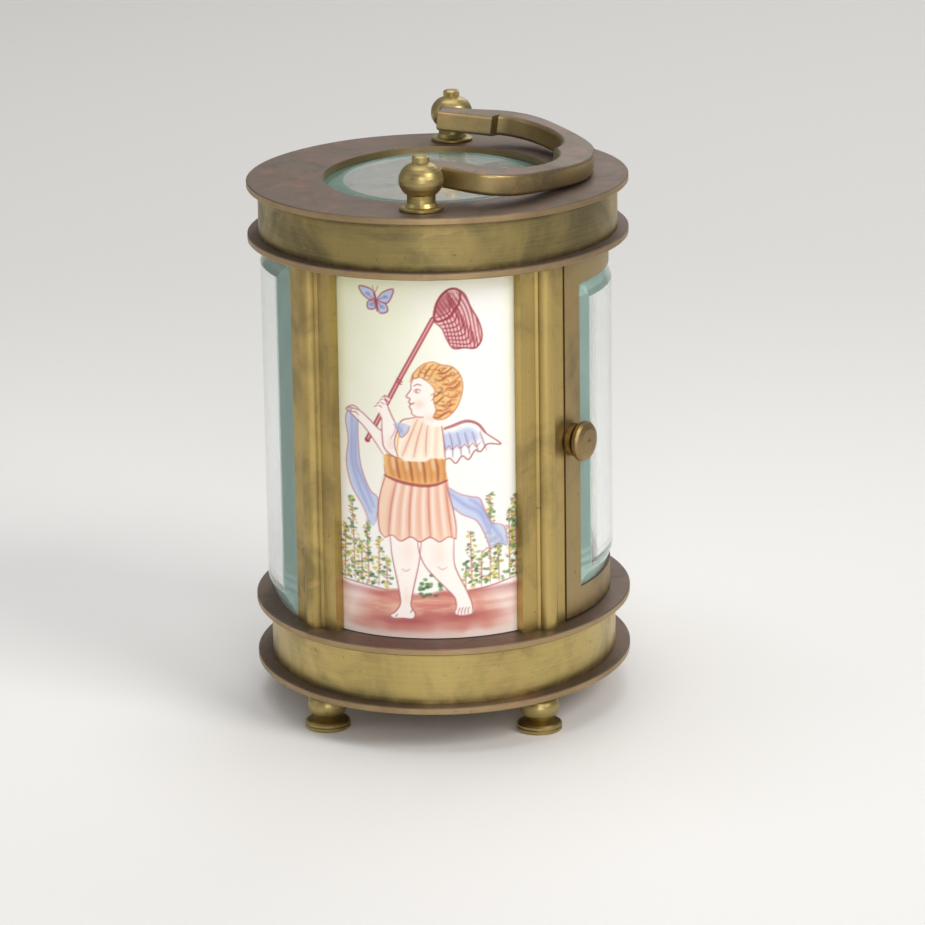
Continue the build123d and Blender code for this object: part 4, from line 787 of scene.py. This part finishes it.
def paintTunic(art):
    # a short belted tunic in orange and peach
    waist = [(-5.0, 24.2), (-3.0, 23.9), (-0.8, 24.1)]
    upper = [(-2.9, 28.7), (-0.8, 29.2), (0.6, 29.0), (2.3, 28.3), (2.4, 26.0), (2.5, 23.3), (-0.5, 23.5),
             (-3.4, 23.8), (-3.8, 25.8)]
    shirt = art.area(upper, "cream", 1.0)
    gathers = [[(-2.1 + k * 0.95, 28.5), (-2.8 + k * 1.05, 26.2), (-3.0 + k * 1.10, 24.1)]
               for k in range(5)]
    paintFolds(art, shirt, gathers, 0.60, "peach", 0.75)
    paintFolds(art, shirt, gathers[1::2], 0.14, "fineLine", 0.6)
    art.stroke([(2.1, 28.7), (2.35, 27.0), (2.5, 25.0), (2.6, 23.4)], 0.15, "line", 0.85)
    art.stroke([(-2.9, 28.7), (-3.7, 27.2), (-3.9, 25.6), (-3.5, 23.9)], 0.15, "line", 0.85)
    art.stroke([(-2.7, 28.8), (-0.8, 29.3), (0.6, 29.1), (2.2, 28.5)], 0.28, "gold", 0.85)
    bodice = [(-5.2, 24.3), (-3.2, 24.0), (-0.8, 24.1), (1.0, 23.9), (2.5, 23.7), (2.6, 22.4), (2.7, 20.9),
              (1.2, 20.4), (-0.8, 20.3), (-2.6, 20.6), (-4.3, 21.2), (-5.1, 21.5), (-5.3, 22.8)]
    mask = art.area(bodice, "gold", 0.80)
    folds = [[(-4.6 + k * 0.85, 23.9), (-4.4 + k * 0.86, 22.4), (-4.0 + k * 0.80, 20.8)] for k in range(9)]
    paintFolds(art, mask, folds, 0.60, "rust", 0.55)
    paintFolds(art, mask, folds[1::2], 0.28, "brown", 0.55)
    lit = [[(-4.2 + k * 1.7, 23.8), (-4.0 + k * 1.7, 22.4)] for k in range(4)]
    paintFolds(art, mask, lit, 0.45, "sand", 0.6)
    skirt = [(-5.1, 21.5), (-5.8, 19.4), (-6.2, 17.0), (-6.1, 14.2), (-5.4, 13.2), (-4.4, 13.6),
             (-3.3, 12.9), (-2.0, 13.5), (-0.8, 12.9), (0.5, 13.5), (1.7, 12.9), (2.8, 13.5), (3.8, 13.2),
             (3.8, 15.0), (3.4, 17.4), (2.9, 19.5), (2.7, 20.9), (-1.0, 20.3)]
    cloth = art.area(skirt, "peach", 0.90)
    pleats = [[(-3.8 + k * 1.05, 20.7), (-4.5 + k * 1.22, 17.4), (-4.9 + k * 1.36, 13.6)] for k in range(7)]
    paintFolds(art, cloth, pleats, 0.75, "clay", 0.42)
    paintFolds(art, cloth, pleats[::2], 0.24, "rose", 0.60)
    paintFolds(art, cloth, [[(x + 0.5, y) for x, y in line] for line in pleats], 0.40, "skin", 0.55)
    art.stroke([(-5.3, 21.5), (-3.8, 20.9), (-2.0, 20.5), (0.0, 20.3), (1.5, 20.5), (2.8, 21.0)], 0.42,
               "wine", 0.75)
    art.stroke([(-5.1, 21.8), (-3.7, 21.2), (-1.9, 20.8), (0.0, 20.6), (1.6, 20.8)], 0.16, "gold", 0.8)
    art.strokes([skirt[:5], skirt[4:13], skirt[12:17]], 0.15, "line", 0.80)
    art.strokes([bodice[9:13], waist], 0.13, "line", 0.7)


def paintLegs(art):
    left = [(-4.7, 13.6), (-4.5, 11.0), (-4.1, 8.8), (-3.7, 6.6), (-3.5, 4.6), (-4.2, 3.4), (-4.9, 2.9),
            (-4.4, 2.5), (-3.2, 2.6), (-1.9, 2.6), (-1.6, 3.3), (-2.1, 4.4), (-1.8, 6.4), (-1.3, 8.6),
            (-0.9, 10.6), (-0.6, 13.6)]
    right = [(-1.2, 13.6), (-0.9, 11.4), (-0.2, 9.7), (1.0, 8.2), (2.4, 6.7), (3.5, 5.4), (3.7, 4.2),
             (3.5, 3.4), (4.2, 3.0), (5.7, 3.2), (5.7, 4.3), (5.3, 5.6), (4.7, 7.0), (4.0, 8.5),
             (3.5, 10.2), (3.5, 13.6)]
    for leg in (left, right):
        art.area(leg, "skin", 1.0)
    art.blur(-2.3, 11.6, 0.8, 1.7, "blush", 0.30)
    art.blur(1.6, 11.2, 1.0, 1.9, "blush", 0.35)
    art.blur(-2.7, 5.4, 0.5, 1.2, "blush", 0.35)
    art.strokes([left[:8], left[7:], right[:8], right[9:]], 0.15, "line", 0.85)
    art.strokes([[(3.9 + 0.42 * k, 3.1), (4.0 + 0.40 * k, 3.7), (4.2 + 0.38 * k, 4.0)] for k in range(4)],
                0.11, "line", 0.8)
    art.strokes([[(-4.2, 2.7), (-3.9, 3.1)], [(-2.2, 3.4), (-1.9, 3.9)]], 0.12, "line", 0.8)
    art.strokes([[(-3.2, 9.2), (-2.7, 8.9), (-2.2, 9.2)], [(1.4, 9.6), (2.0, 9.2), (2.6, 9.5)]], 0.10,
                "fineLine", 0.7)


def paintCatcher(art, tall):
    # a winged child in a garden, reaching after a butterfly with a net
    paintSky(art, tall)
    paintGround(art, [(-2.8, 2.3, 3.6), (4.4, 2.9, 2.8)])
    art.blur(-3.4, 3.6, 1.6, 1.0, "sand", 0.55)
    art.blur(4.8, 4.2, 1.5, 1.0, "sand", 0.45)
    paintHedge(art, [(-10.9, 7.0, 14.4), (-9.5, 7.1, 18.1), (-8.5, 6.8, 12.4), (-7.6, 6.9, 15.4),
                     (-6.3, 6.7, 13.0), (-5.2, 6.5, 10.8)], 41)
    paintHedge(art, [(4.9, 6.5, 10.0), (5.7, 6.6, 14.1), (6.9, 6.7, 11.4), (8.0, 7.0, 18.9),
                     (9.1, 7.1, 13.0), (10.4, 7.2, 16.6), (11.2, 7.2, 18.3)], 42)
    dice = np.random.default_rng(43)
    for _ in range(26):
        art.dab(dice.uniform(-0.9, 2.2), dice.uniform(5.6, 8.6), 0.30, 0.22,
                dice.choice(["leaf", "deepLeaf"]), 0.8)
    train = [(2.5, 20.3), (4.2, 19.2), (5.6, 18.7), (6.8, 18.3), (7.4, 16.8), (8.3, 15.0), (9.8, 14.2),
             (10.2, 12.8), (10.1, 11.6), (9.0, 12.1), (8.1, 11.5), (7.5, 13.2), (6.4, 15.4), (4.6, 16.4),
             (3.2, 17.6)]
    paintDrapery(art, train,
                 [[(3.0, 19.4), (5.0, 17.6), (6.8, 16.4), (8.0, 13.6)],
                  [(5.6, 18.3), (6.9, 17.2), (8.4, 14.4), (9.6, 12.4)]],
                 [train[:7] + [(10.2, 11.8)], train[:7:-1]])
    scarf = [(-9.9, 29.7), (-10.4, 28.3), (-10.1, 25.6), (-10.4, 22.6), (-9.8, 19.6), (-8.3, 17.1),
             (-7.3, 14.7), (-6.5, 15.2), (-6.2, 18.2), (-7.3, 19.4), (-8.4, 22.3), (-8.7, 25.4),
             (-8.7, 28.9)]
    paintDrapery(art, scarf,
                 [[(-9.5, 29.0), (-9.6, 25.6), (-9.6, 22.6), (-8.6, 19.4), (-7.2, 16.4)],
                  [(-9.0, 28.2), (-9.1, 25.0), (-9.0, 22.4), (-7.8, 19.6), (-6.8, 17.2)]],
                 [scarf[:7], scarf[:6:-1]])
    paintLegs(art)
    paintWing(art)
    paintNet(art)
    paintTunic(art)
    paintArms(art)
    knot = [(-3.9, 28.3), (-2.9, 28.5), (-1.9, 28.1), (-2.2, 27.3), (-3.0, 26.6), (-3.4, 27.4)]
    paintDrapery(art, knot, [[(-3.5, 28.1), (-2.8, 27.2)]], [knot[:1] + knot[:1:-1]])
    paintHead(art)
    paintButterfly(art, -6.0, 44.2, 1.1, -0.12)


def paintFlower(art, x, y, size, colours, dice):
    for k in range(6):
        turn = k * math.pi / 3 + dice.uniform(-0.2, 0.2)
        art.dab(x + size * 0.5 * math.cos(turn), y + size * 0.45 * math.sin(turn), size * 0.42, size * 0.32,
                colours[k % len(colours)], 0.85, turn)
    art.dab(x, y, size * 0.28, size * 0.25, "gold", 0.95)
    ring = [(x + size * 0.85 * math.cos(k * 0.7), y + size * 0.75 * math.sin(k * 0.7)) for k in range(9)]
    art.stroke(ring, 0.12, "line", 0.6)


def mirrored(half):
    # a whole outline from its left half, given from the foot up
    return half + [(-x, y) for x, y in half[::-1]]


def paintUrn(art, tall):
    # the companion plate: flowers in an urn, with a ribbon and two butterflies
    paintSky(art, tall)
    paintGround(art, [(0.0, 3.0, 5.0)])
    bushes = (-10.9, -9.6, -8.4, -7.1, -5.9, 5.6, 6.8, 8.1, 9.5, 10.8)
    paintHedge(art, [(x, 6.8, 12.0 + 5.0 * abs(math.sin(x))) for x in bushes], 51)
    plinth = mirrored([(-3.6, 3.2), (-3.6, 4.4), (-3.0, 4.8), (-2.8, 11.4), (-3.4, 11.8), (-3.4, 12.8)])
    stone = art.area(plinth, "stone", 1.0, smooth=False)
    paintFolds(art, stone, [[(2.2, 3.2), (2.0, 12.8)]], 1.9, "shade", 0.55)
    art.stroke(plinth + plinth[:1], 0.16, "line", 0.8, taper=0, smooth=False)
    sunkPanel = [(-1.6, 6.0), (1.6, 6.0), (1.6, 10.2), (-1.6, 10.2), (-1.6, 6.0)]
    art.strokes([[(-3.0, 4.8), (3.0, 4.8)], [(-2.8, 11.4), (2.8, 11.4)], sunkPanel], 0.13, "fineLine", 0.8,
                smooth=False)
    urn = mirrored([(-1.6, 12.9), (-1.4, 13.6), (-0.7, 14.4), (-2.2, 16.0), (-3.3, 18.4), (-3.3, 20.6),
                    (-2.5, 21.8), (-3.0, 22.8)])
    body = art.area(urn, "gold", 0.80)
    paintFolds(art, body, [[(1.2, 13.0), (2.4, 18.0), (1.8, 22.6)], [(2.4, 16.0), (3.0, 20.0)]], 1.2,
               "rust", 0.55)
    paintFolds(art, body, [[(-1.4, 16.0), (-2.2, 19.0), (-1.6, 22.0)]], 0.7, "sand", 0.8)
    paintFolds(art, body, [[(-3.3, 20.4), (0, 19.6), (3.3, 20.4)], [(-3.0, 18.0), (0, 17.2), (3.0, 18.0)]],
               0.3, "wine", 0.6)
    art.stroke(urn + urn[:1], 0.16, "line", 0.85)
    for side in (-1, 1):
        art.stroke([(side * 3.2, 18.6), (side * 4.6, 19.4), (side * 4.7, 21.2), (side * 3.2, 21.4)], 0.26,
                   "rust", 0.85)
    dice = np.random.default_rng(52)
    for k in range(15):
        turn = math.pi * (0.08 + 0.84 * k / 14)
        reach = dice.uniform(6.0, 9.5)
        tip = (reach * 0.72 * math.cos(turn), 23.2 + reach * math.sin(turn))
        art.stroke([(0.4 * math.cos(turn), 22.8), (tip[0] * 0.5, 22.8 + (tip[1] - 22.8) * 0.62), tip], 0.15,
                   "leaf", 0.85)
    for _ in range(90):
        turn, reach = dice.uniform(0.1, math.pi - 0.1), dice.uniform(1.0, 8.6)
        art.dab(reach * 0.78 * math.cos(turn), 23.4 + reach * math.sin(turn), 0.50, 0.24,
                dice.choice(["leaf", "deepLeaf", "lime"]), 0.75, dice.uniform(0, 3))
    blooms = [(0, 27.0, 1.5), (-2.8, 25.4, 1.3), (2.9, 25.2, 1.3), (-1.6, 29.6, 1.2), (1.8, 29.4, 1.25),
              (-4.7, 27.6, 1.0), (4.8, 27.4, 1.0), (0.2, 32.2, 1.1), (-3.4, 31.0, 0.85), (3.5, 31.3, 0.85),
              (-5.4, 24.5, 0.8), (5.5, 24.4, 0.8)]
    tones = [["clay", "rose"], ["sky", "deepSky"], ["peach", "gold"], ["net", "crimson"]]
    for k, (x, y, size) in enumerate(blooms):
        paintFlower(art, x, y, size, tones[k % len(tones)], dice)
    for side in (-1, 1):
        ribbon = [(side * 3.4, 12.4), (side * 4.8, 11.6), (side * 5.6, 9.4), (side * 4.9, 7.2),
                  (side * 6.0, 5.4), (side * 5.0, 5.0), (side * 3.9, 7.0), (side * 4.5, 9.4),
                  (side * 3.8, 11.0)]
        paintDrapery(art, ribbon, [[(side * 4.0, 11.8), (side * 5.0, 9.4), (side * 4.4, 7.0)]],
                     [ribbon + ribbon[:1]])
    paintButterfly(art, -6.2, 39.6, 1.15, 0.3)
    paintButterfly(art, 6.4, 42.6, 0.95, -0.4)


panelShape = {"radius": 17.5 * mm, "thickness": 1.6 * mm, "columns": 206, "rows": 440, "backColumns": 24}


def paintedPanel(name, node, paint, side):
    # the curved plate, painted on a fine net over its outer face
    low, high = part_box(node)
    radius, thick = panelShape["radius"], panelShape["thickness"]
    half = math.asin(high.y / radius)
    centre = (high.x - radius) if side > 0 else (low.x + radius)
    shape = bmesh.new()

    def sheet(columns, rows, r):
        made = bmesh.ops.create_grid(shape, x_segments=columns, y_segments=rows, size=0.5)["verts"]
        for vert in made:
            turn, rise = vert.co.x * 2 * half, vert.co.y + 0.5
            vert.co = (centre + side * r * math.cos(turn), r * math.sin(turn),
                       low.z + rise * (high.z - low.z))
        return {edge for vert in made for edge in vert.link_edges if edge.is_boundary}

    rims = sheet(panelShape["columns"], panelShape["rows"], radius)
    rims |= sheet(panelShape["backColumns"], 1, radius - thick)
    bmesh.ops.bridge_loops(shape, edges=list(rims))
    bmesh.ops.triangulate(shape, faces=[face for face in shape.faces if len(face.verts) > 4])
    bmesh.ops.recalc_face_normals(shape, faces=shape.faces)
    for face in shape.faces:
        face.smooth = True
    for edge in shape.edges:
        if len(edge.link_faces) == 2 and edge.calc_face_angle() > math.radians(40):
            edge.smooth = False
    mesh = bpy.data.meshes.new(name)
    shape.to_mesh(mesh)
    shape.free()
    places = np.zeros(len(mesh.vertices) * 3, np.float32)
    mesh.vertices.foreach_get("co", places)
    places = places.reshape(-1, 3)
    outer = np.hypot(places[:, 0] - centre, places[:, 1]) > radius - thick / 2
    art = Painting(side * places[outer, 1] / mm, (places[outer, 2] - low.z) / mm)
    paint(art, (high.z - low.z) / mm)
    colour = np.ones((len(mesh.vertices), 4), np.float32)
    colour[:, :3] = (0.90, 0.88, 0.84)
    colour[outer, :3] = art.finished()
    layer = mesh.color_attributes.new("paint", "FLOAT_COLOR", "POINT")
    layer.data.foreach_set("color", colour.ravel())
    panel = bpy.data.objects.new(name, mesh)
    bpy.context.scene.collection.objects.link(panel)
    mesh.materials.append(paintedMaterial())
    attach(panel, "case")
    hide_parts(node)
    print("painted", name, len(mesh.polygons), "faces")


# dial figures, mask ornament and jewels

def addPiece(shape, name, material, smoothAngle=None):
    # the finished bmesh becomes an object that stays with the case
    bmesh.ops.recalc_face_normals(shape, faces=shape.faces)
    for face in shape.faces:
        face.smooth = smoothAngle is not None
    for edge in shape.edges:
        if smoothAngle and len(edge.link_faces) == 2 and edge.calc_face_angle() > math.radians(smoothAngle):
            edge.smooth = False
    mesh = bpy.data.meshes.new(name)
    shape.to_mesh(mesh)
    shape.free()
    mesh.materials.append(material)
    piece = bpy.data.objects.new(name, mesh)
    bpy.context.scene.collection.objects.link(piece)
    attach(piece, "case")
    print("made", name, len(mesh.polygons), "faces")


inkLook = {"figureRadius": 9.5, "figureHeight": 2.9, "stem": 0.44, "hair": 0.15, "serif": 0.14, "gap": 0.16,
           "track": (11.25, 11.95), "trackLine": 0.09, "minute": 0.13, "hour": 0.34,
           "lift": 0.035, "sunk": 0.03, "dome": 0.10, "hole": 1.9, "flat": 12.1}
letters = {   # half width of each letter, and its strokes as foot, head and which width
    "I": (0.30, [(0.0, 0.0, "stem")]),
    "V": (0.66, [(0.05, -0.48, "stem"), (0.05, 0.52, "hair")]),
    "X": (0.66, [(0.48, -0.48, "stem"), (-0.48, 0.48, "hair")]),
}
hours = ["XII", "I", "II", "III", "IIII", "V", "VI", "VII", "VIII", "IX", "X", "XI"]


def dialFigures():
    # Roman hours that stand radially, and a minute track, as thin bars of black on the domed face
    low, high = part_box("dial")
    middle, front = (low.z + high.z) / 2 / mm, low.y / mm
    slope = inkLook["dome"] / (inkLook["flat"] - inkLook["hole"])
    shape = bmesh.new()

    def bar(turn, start, end, width):
        # from start to end, each given as a distance across the ray at this turn and a distance along it
        along = Vector(end) - Vector(start)
        cross = Vector((along.y, -along.x)).normalized() * width
        for vert in bmesh.ops.create_cube(shape, size=1.0)["verts"]:
            spot = Vector(start) + along * (vert.co.z + 0.5) + cross * vert.co.x
            face = front + slope * (spot.length - inkLook["hole"])
            y = face - inkLook["lift"] if vert.co.y < 0 else face + inkLook["sunk"]
            x = spot.y * math.sin(turn) + spot.x * math.cos(turn)
            z = spot.y * math.cos(turn) - spot.x * math.sin(turn)
            vert.co = Vector((x, y, middle + z)) * mm

    inner = inkLook["figureRadius"] - inkLook["figureHeight"] / 2
    outer = inkLook["figureRadius"] + inkLook["figureHeight"] / 2
    for k, word in enumerate(hours):
        turn = math.radians(30 * k)
        wide = sum(2 * letters[letter][0] + inkLook["gap"] for letter in word) - inkLook["gap"]
        at = -wide / 2
        for letter in word:
            half, strokes = letters[letter]
            at += half
            for foot, head, width in strokes:
                bar(turn, (at + foot, inner), (at + head, outer), inkLook[width])
            at += half + inkLook["gap"]
        for radius in (inner, outer):
            bar(turn, (-wide / 2 - 0.1, radius), (wide / 2 + 0.1, radius), inkLook["serif"])
    for k in range(60):
        width = inkLook["minute"] if k % 5 else inkLook["hour"]
        bar(math.radians(6 * k), (0, inkLook["track"][0]), (0, inkLook["track"][1]), width)
    for radius in inkLook["track"]:
        half = radius * math.tan(math.radians(1.5))
        for k in range(120):
            bar(math.radians(3 * k), (-half, radius), (half, radius), inkLook["trackLine"])
    addPiece(shape, "dial_figures", inkMaterial())


reliefLook = {"scroll": 2.9, "scrollAt": 6.6, "turns": 1.55, "thick": 0.40, "thin": 0.16, "steps": 34,
              "inward": 0.82, "eye": (0.5, 0.4, 0.5), "cornerAt": (12.4, 2.4),
              "budAt": (13.2, 2.9), "bud": (0.5, 0.4, 1.3), "budLean": 0.8,
              "leaf": 3.1, "leafWidth": 0.55, "leafDepth": 0.40, "leafFoot": 1.4, "leafTurn": 34,
              "leafFall": 0.35, "border": 1.1, "bead": 0.30, "beads": 15}


def maskRelief():
    # cast scrolls, a palmette and a beaded border in the fields above and below the dial
    low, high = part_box("dial_mask")
    dialLow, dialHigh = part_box("dial")
    front = low.y
    (cornerX, cornerZ), (budX, budZ) = reliefLook["cornerAt"], reliefLook["budAt"]
    budSize = tuple(size * mm for size in reliefLook["bud"])
    shape = bmesh.new()

    def rod(start, end, startRadius, endRadius):
        way = end - start
        at = Matrix.Translation((start + end) / 2) @ way.to_track_quat("Z", "Y").to_matrix().to_4x4()
        bmesh.ops.create_cone(shape, cap_ends=True, segments=8, radius1=startRadius, radius2=endRadius,
                              depth=way.length * 1.1, matrix=at)

    def lump(x, z, turn, size):
        at = Matrix.Translation((x, front, z)) @ Matrix.Rotation(turn, 4, "Y")
        bmesh.ops.create_uvsphere(shape, u_segments=12, v_segments=8, radius=1.0,
                                  matrix=at @ Matrix.Diagonal((*size, 1.0)))

    def scroll(x, z, hand, up):
        # a spiral that thins toward its eye
        spots = []
        for k in range(reliefLook["steps"]):
            done = k / (reliefLook["steps"] - 1)
            turn = math.radians(-60) + 2 * math.pi * reliefLook["turns"] * done
            reach = reliefLook["scroll"] * mm * (1 - reliefLook["inward"] * done)
            thick = reliefLook["thick"] + (reliefLook["thin"] - reliefLook["thick"]) * done
            spots.append((Vector((x + hand * reach * math.cos(turn), front,
                                  z + up * reach * math.sin(turn))),
                          thick * mm))
        for (start, wide), (end, narrow) in zip(spots, spots[1:]):
            rod(start, end, wide, narrow)
        lump(spots[-1][0].x, spots[-1][0].z, 0, tuple(size * mm for size in reliefLook["eye"]))

    for edge, dialEdge, up in ((high.z, dialHigh.z, 1), (low.z, dialLow.z, -1)):
        field = (edge + dialEdge) / 2
        for hand in (-1, 1):
            scroll(hand * reliefLook["scrollAt"] * mm, field, hand, up)
            scroll(hand * cornerX * mm, field - up * cornerZ * mm, -hand, -up)
            lump(hand * budX * mm, edge - up * budZ * mm, hand * up * reliefLook["budLean"], budSize)
        for k in range(-2, 3):
            turn = math.radians(reliefLook["leafTurn"] * k)
            reach = (reliefLook["leaf"] - reliefLook["leafFall"] * abs(k)) * mm / 2
            size = (reliefLook["leafWidth"] * mm, reliefLook["leafDepth"] * mm, reach)
            z = field - up * reliefLook["leafFoot"] * mm + up * reach * math.cos(turn)
            lump(reach * math.sin(turn), z, up * turn, size)
        for k in range(-reliefLook["beads"], reliefLook["beads"] + 1):
            x = k * (high.x / mm - reliefLook["border"]) / reliefLook["beads"] * mm
            lump(x, edge - up * reliefLook["border"] * mm, 0, (reliefLook["bead"] * mm,) * 3)
    addPiece(shape, "mask_relief", giltMaterial(), 40)


jewelLook = {"radius": 0.62, "height": 0.22, "setting": 0.92, "settingHeight": 0.10, "taper": 0.92}


def jewels():
    # ruby cap stones in gilt settings, over the pivots of the balance and the escape wheel
    stones, settings = bmesh.new(), bmesh.new()
    for wheel, holder in (("balance_wheel", "balance_cock"), ("escape_wheel", "escapement_bridge")):
        low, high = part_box(wheel)
        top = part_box(holder)[1].z
        at = Matrix.Translation(((low.x + high.x) / 2, (low.y + high.y) / 2, top))
        size = Matrix.Diagonal((jewelLook["radius"] * mm, jewelLook["radius"] * mm,
                                jewelLook["height"] * mm, 1.0))
        bmesh.ops.create_uvsphere(stones, u_segments=24, v_segments=12, radius=1.0, matrix=at @ size)
        bmesh.ops.create_cone(settings, cap_ends=True, segments=32, radius1=jewelLook["setting"] * mm,
                              radius2=jewelLook["setting"] * jewelLook["taper"] * mm,
                              depth=2 * jewelLook["settingHeight"] * mm, matrix=at)
    addPiece(stones, "jewels", rubyMaterial(), 40)
    gilt = movementFinishes["platformGilt"]["colour"]
    setting = movementMaterial("settingGilt", gilt, 0.22, (900.0, 900.0, 900.0))
    addPiece(settings, "jewel_settings", setting, 30)


# the stage

cameraView = {"place": (527.8, 45.07, 170.9), "ahead": (-0.9636, -0.07726, -0.2557),
              "right": (-0.0799, 0.9968, 0.0), "roll": 0.0144, "lens": 159.84}
# near, far and fade make the floor's painted pool of light, paler near the clock
stageLook = {"near": (0.87, 0.865, 0.865), "far": (0.71, 0.705, 0.698), "size": 2.5,
             "fade": (0.02, 0.30), "room": (0.80, 0.79, 0.77), "roomLight": 0.37}


def setCamera():
    ahead = Vector(cameraView["ahead"]).normalized()
    right = Vector(cameraView["right"]).normalized()
    up = right.cross(ahead)
    turned = right - cameraView["roll"] * up
    upright = up + cameraView["roll"] * right
    data = bpy.data.cameras.new("camera")
    data.lens = cameraView["lens"]
    data.clip_start, data.clip_end = 0.05, 20.0
    camera = bpy.data.objects.new("camera", data)
    basis = Matrix((turned.normalized(), upright.normalized(), -ahead)).transposed()
    camera.matrix_world = Matrix.Translation(Vector(cameraView["place"]) * mm) @ basis.to_4x4()
    bpy.context.scene.collection.objects.link(camera)
    bpy.context.scene.camera = camera


lights = {
    "key": {"place": (0.55, 0.75, 0.75), "size": 0.50, "power": 6.2, "colour": (1.0, 0.97, 0.92)},
    "front": {"place": (1.00, 0.16, 0.36), "size": 0.45, "power": 3.6, "colour": (1.0, 0.985, 0.96)},
    "overhead": {"place": (-0.15, -0.1, 1.1), "size": 0.9, "power": 4.6, "colour": (1.0, 0.99, 0.97)},
    "fill": {"place": (0.3, -0.9, 0.45), "size": 0.6, "power": 0.8, "colour": (0.96, 0.98, 1.0)},
    "behind": {"place": (-0.8, 0.2, 0.6), "size": 0.6, "power": 1.6, "colour": (1.0, 1.0, 1.0)},
}


def setLights():
    for name, look in lights.items():
        data = bpy.data.lights.new(name, "AREA")
        data.shape, data.size = "SQUARE", look["size"]
        data.energy, data.color = look["power"], look["colour"]
        lamp = bpy.data.objects.new(name, data)
        place = Vector(look["place"])
        lamp.location = place
        lamp.rotation_euler = (Vector((0, 0, 0.04)) - place).to_track_quat("-Z", "Y").to_euler()
        bpy.context.scene.collection.objects.link(lamp)
    world = bpy.data.worlds.new("room")
    world.use_nodes = True
    room = world.node_tree.nodes["Background"]
    room.inputs["Color"].default_value = (*stageLook["room"], 1.0)
    room.inputs["Strength"].default_value = stageLook["roomLight"]
    bpy.context.scene.world = world
    bpy.context.scene.view_settings.view_transform = "Standard"


def setFloor():
    shape = bmesh.new()
    bmesh.ops.create_grid(shape, x_segments=1, y_segments=1, size=stageLook["size"])
    mesh = bpy.data.meshes.new("floor")
    shape.to_mesh(mesh)
    shape.free()
    graph = Graph("paper")
    place = graph.place()
    reach = graph.node("VectorMath", {"operation": "LENGTH"}, {0: place}, output=1)
    fibre = graph.noise(place, 900.0, 3.0)
    # painted pool of light: the floor fades from pale near the clock to greyer further out
    colour = graph.mix(reach.rise(*stageLook["fade"]), stageLook["near"], stageLook["far"])
    mesh.materials.append(graph.surface({"Base Color": colour, "Roughness": 0.7 + fibre * 0.1,
                                         "Normal": graph.bump(fibre, 0.01 * mm)}))
    floor = bpy.data.objects.new("floor", mesh)
    bpy.context.scene.collection.objects.link(floor)


dressFrame()
paintedPanel("painted_panel_right", "panel_right", paintCatcher, 1)
paintedPanel("painted_panel_left", "panel_left", paintUrn, -1)
dialFigures()
maskRelief()
jewels()
setFloor()
setCamera()
setLights()
print("floor, camera and lights set")
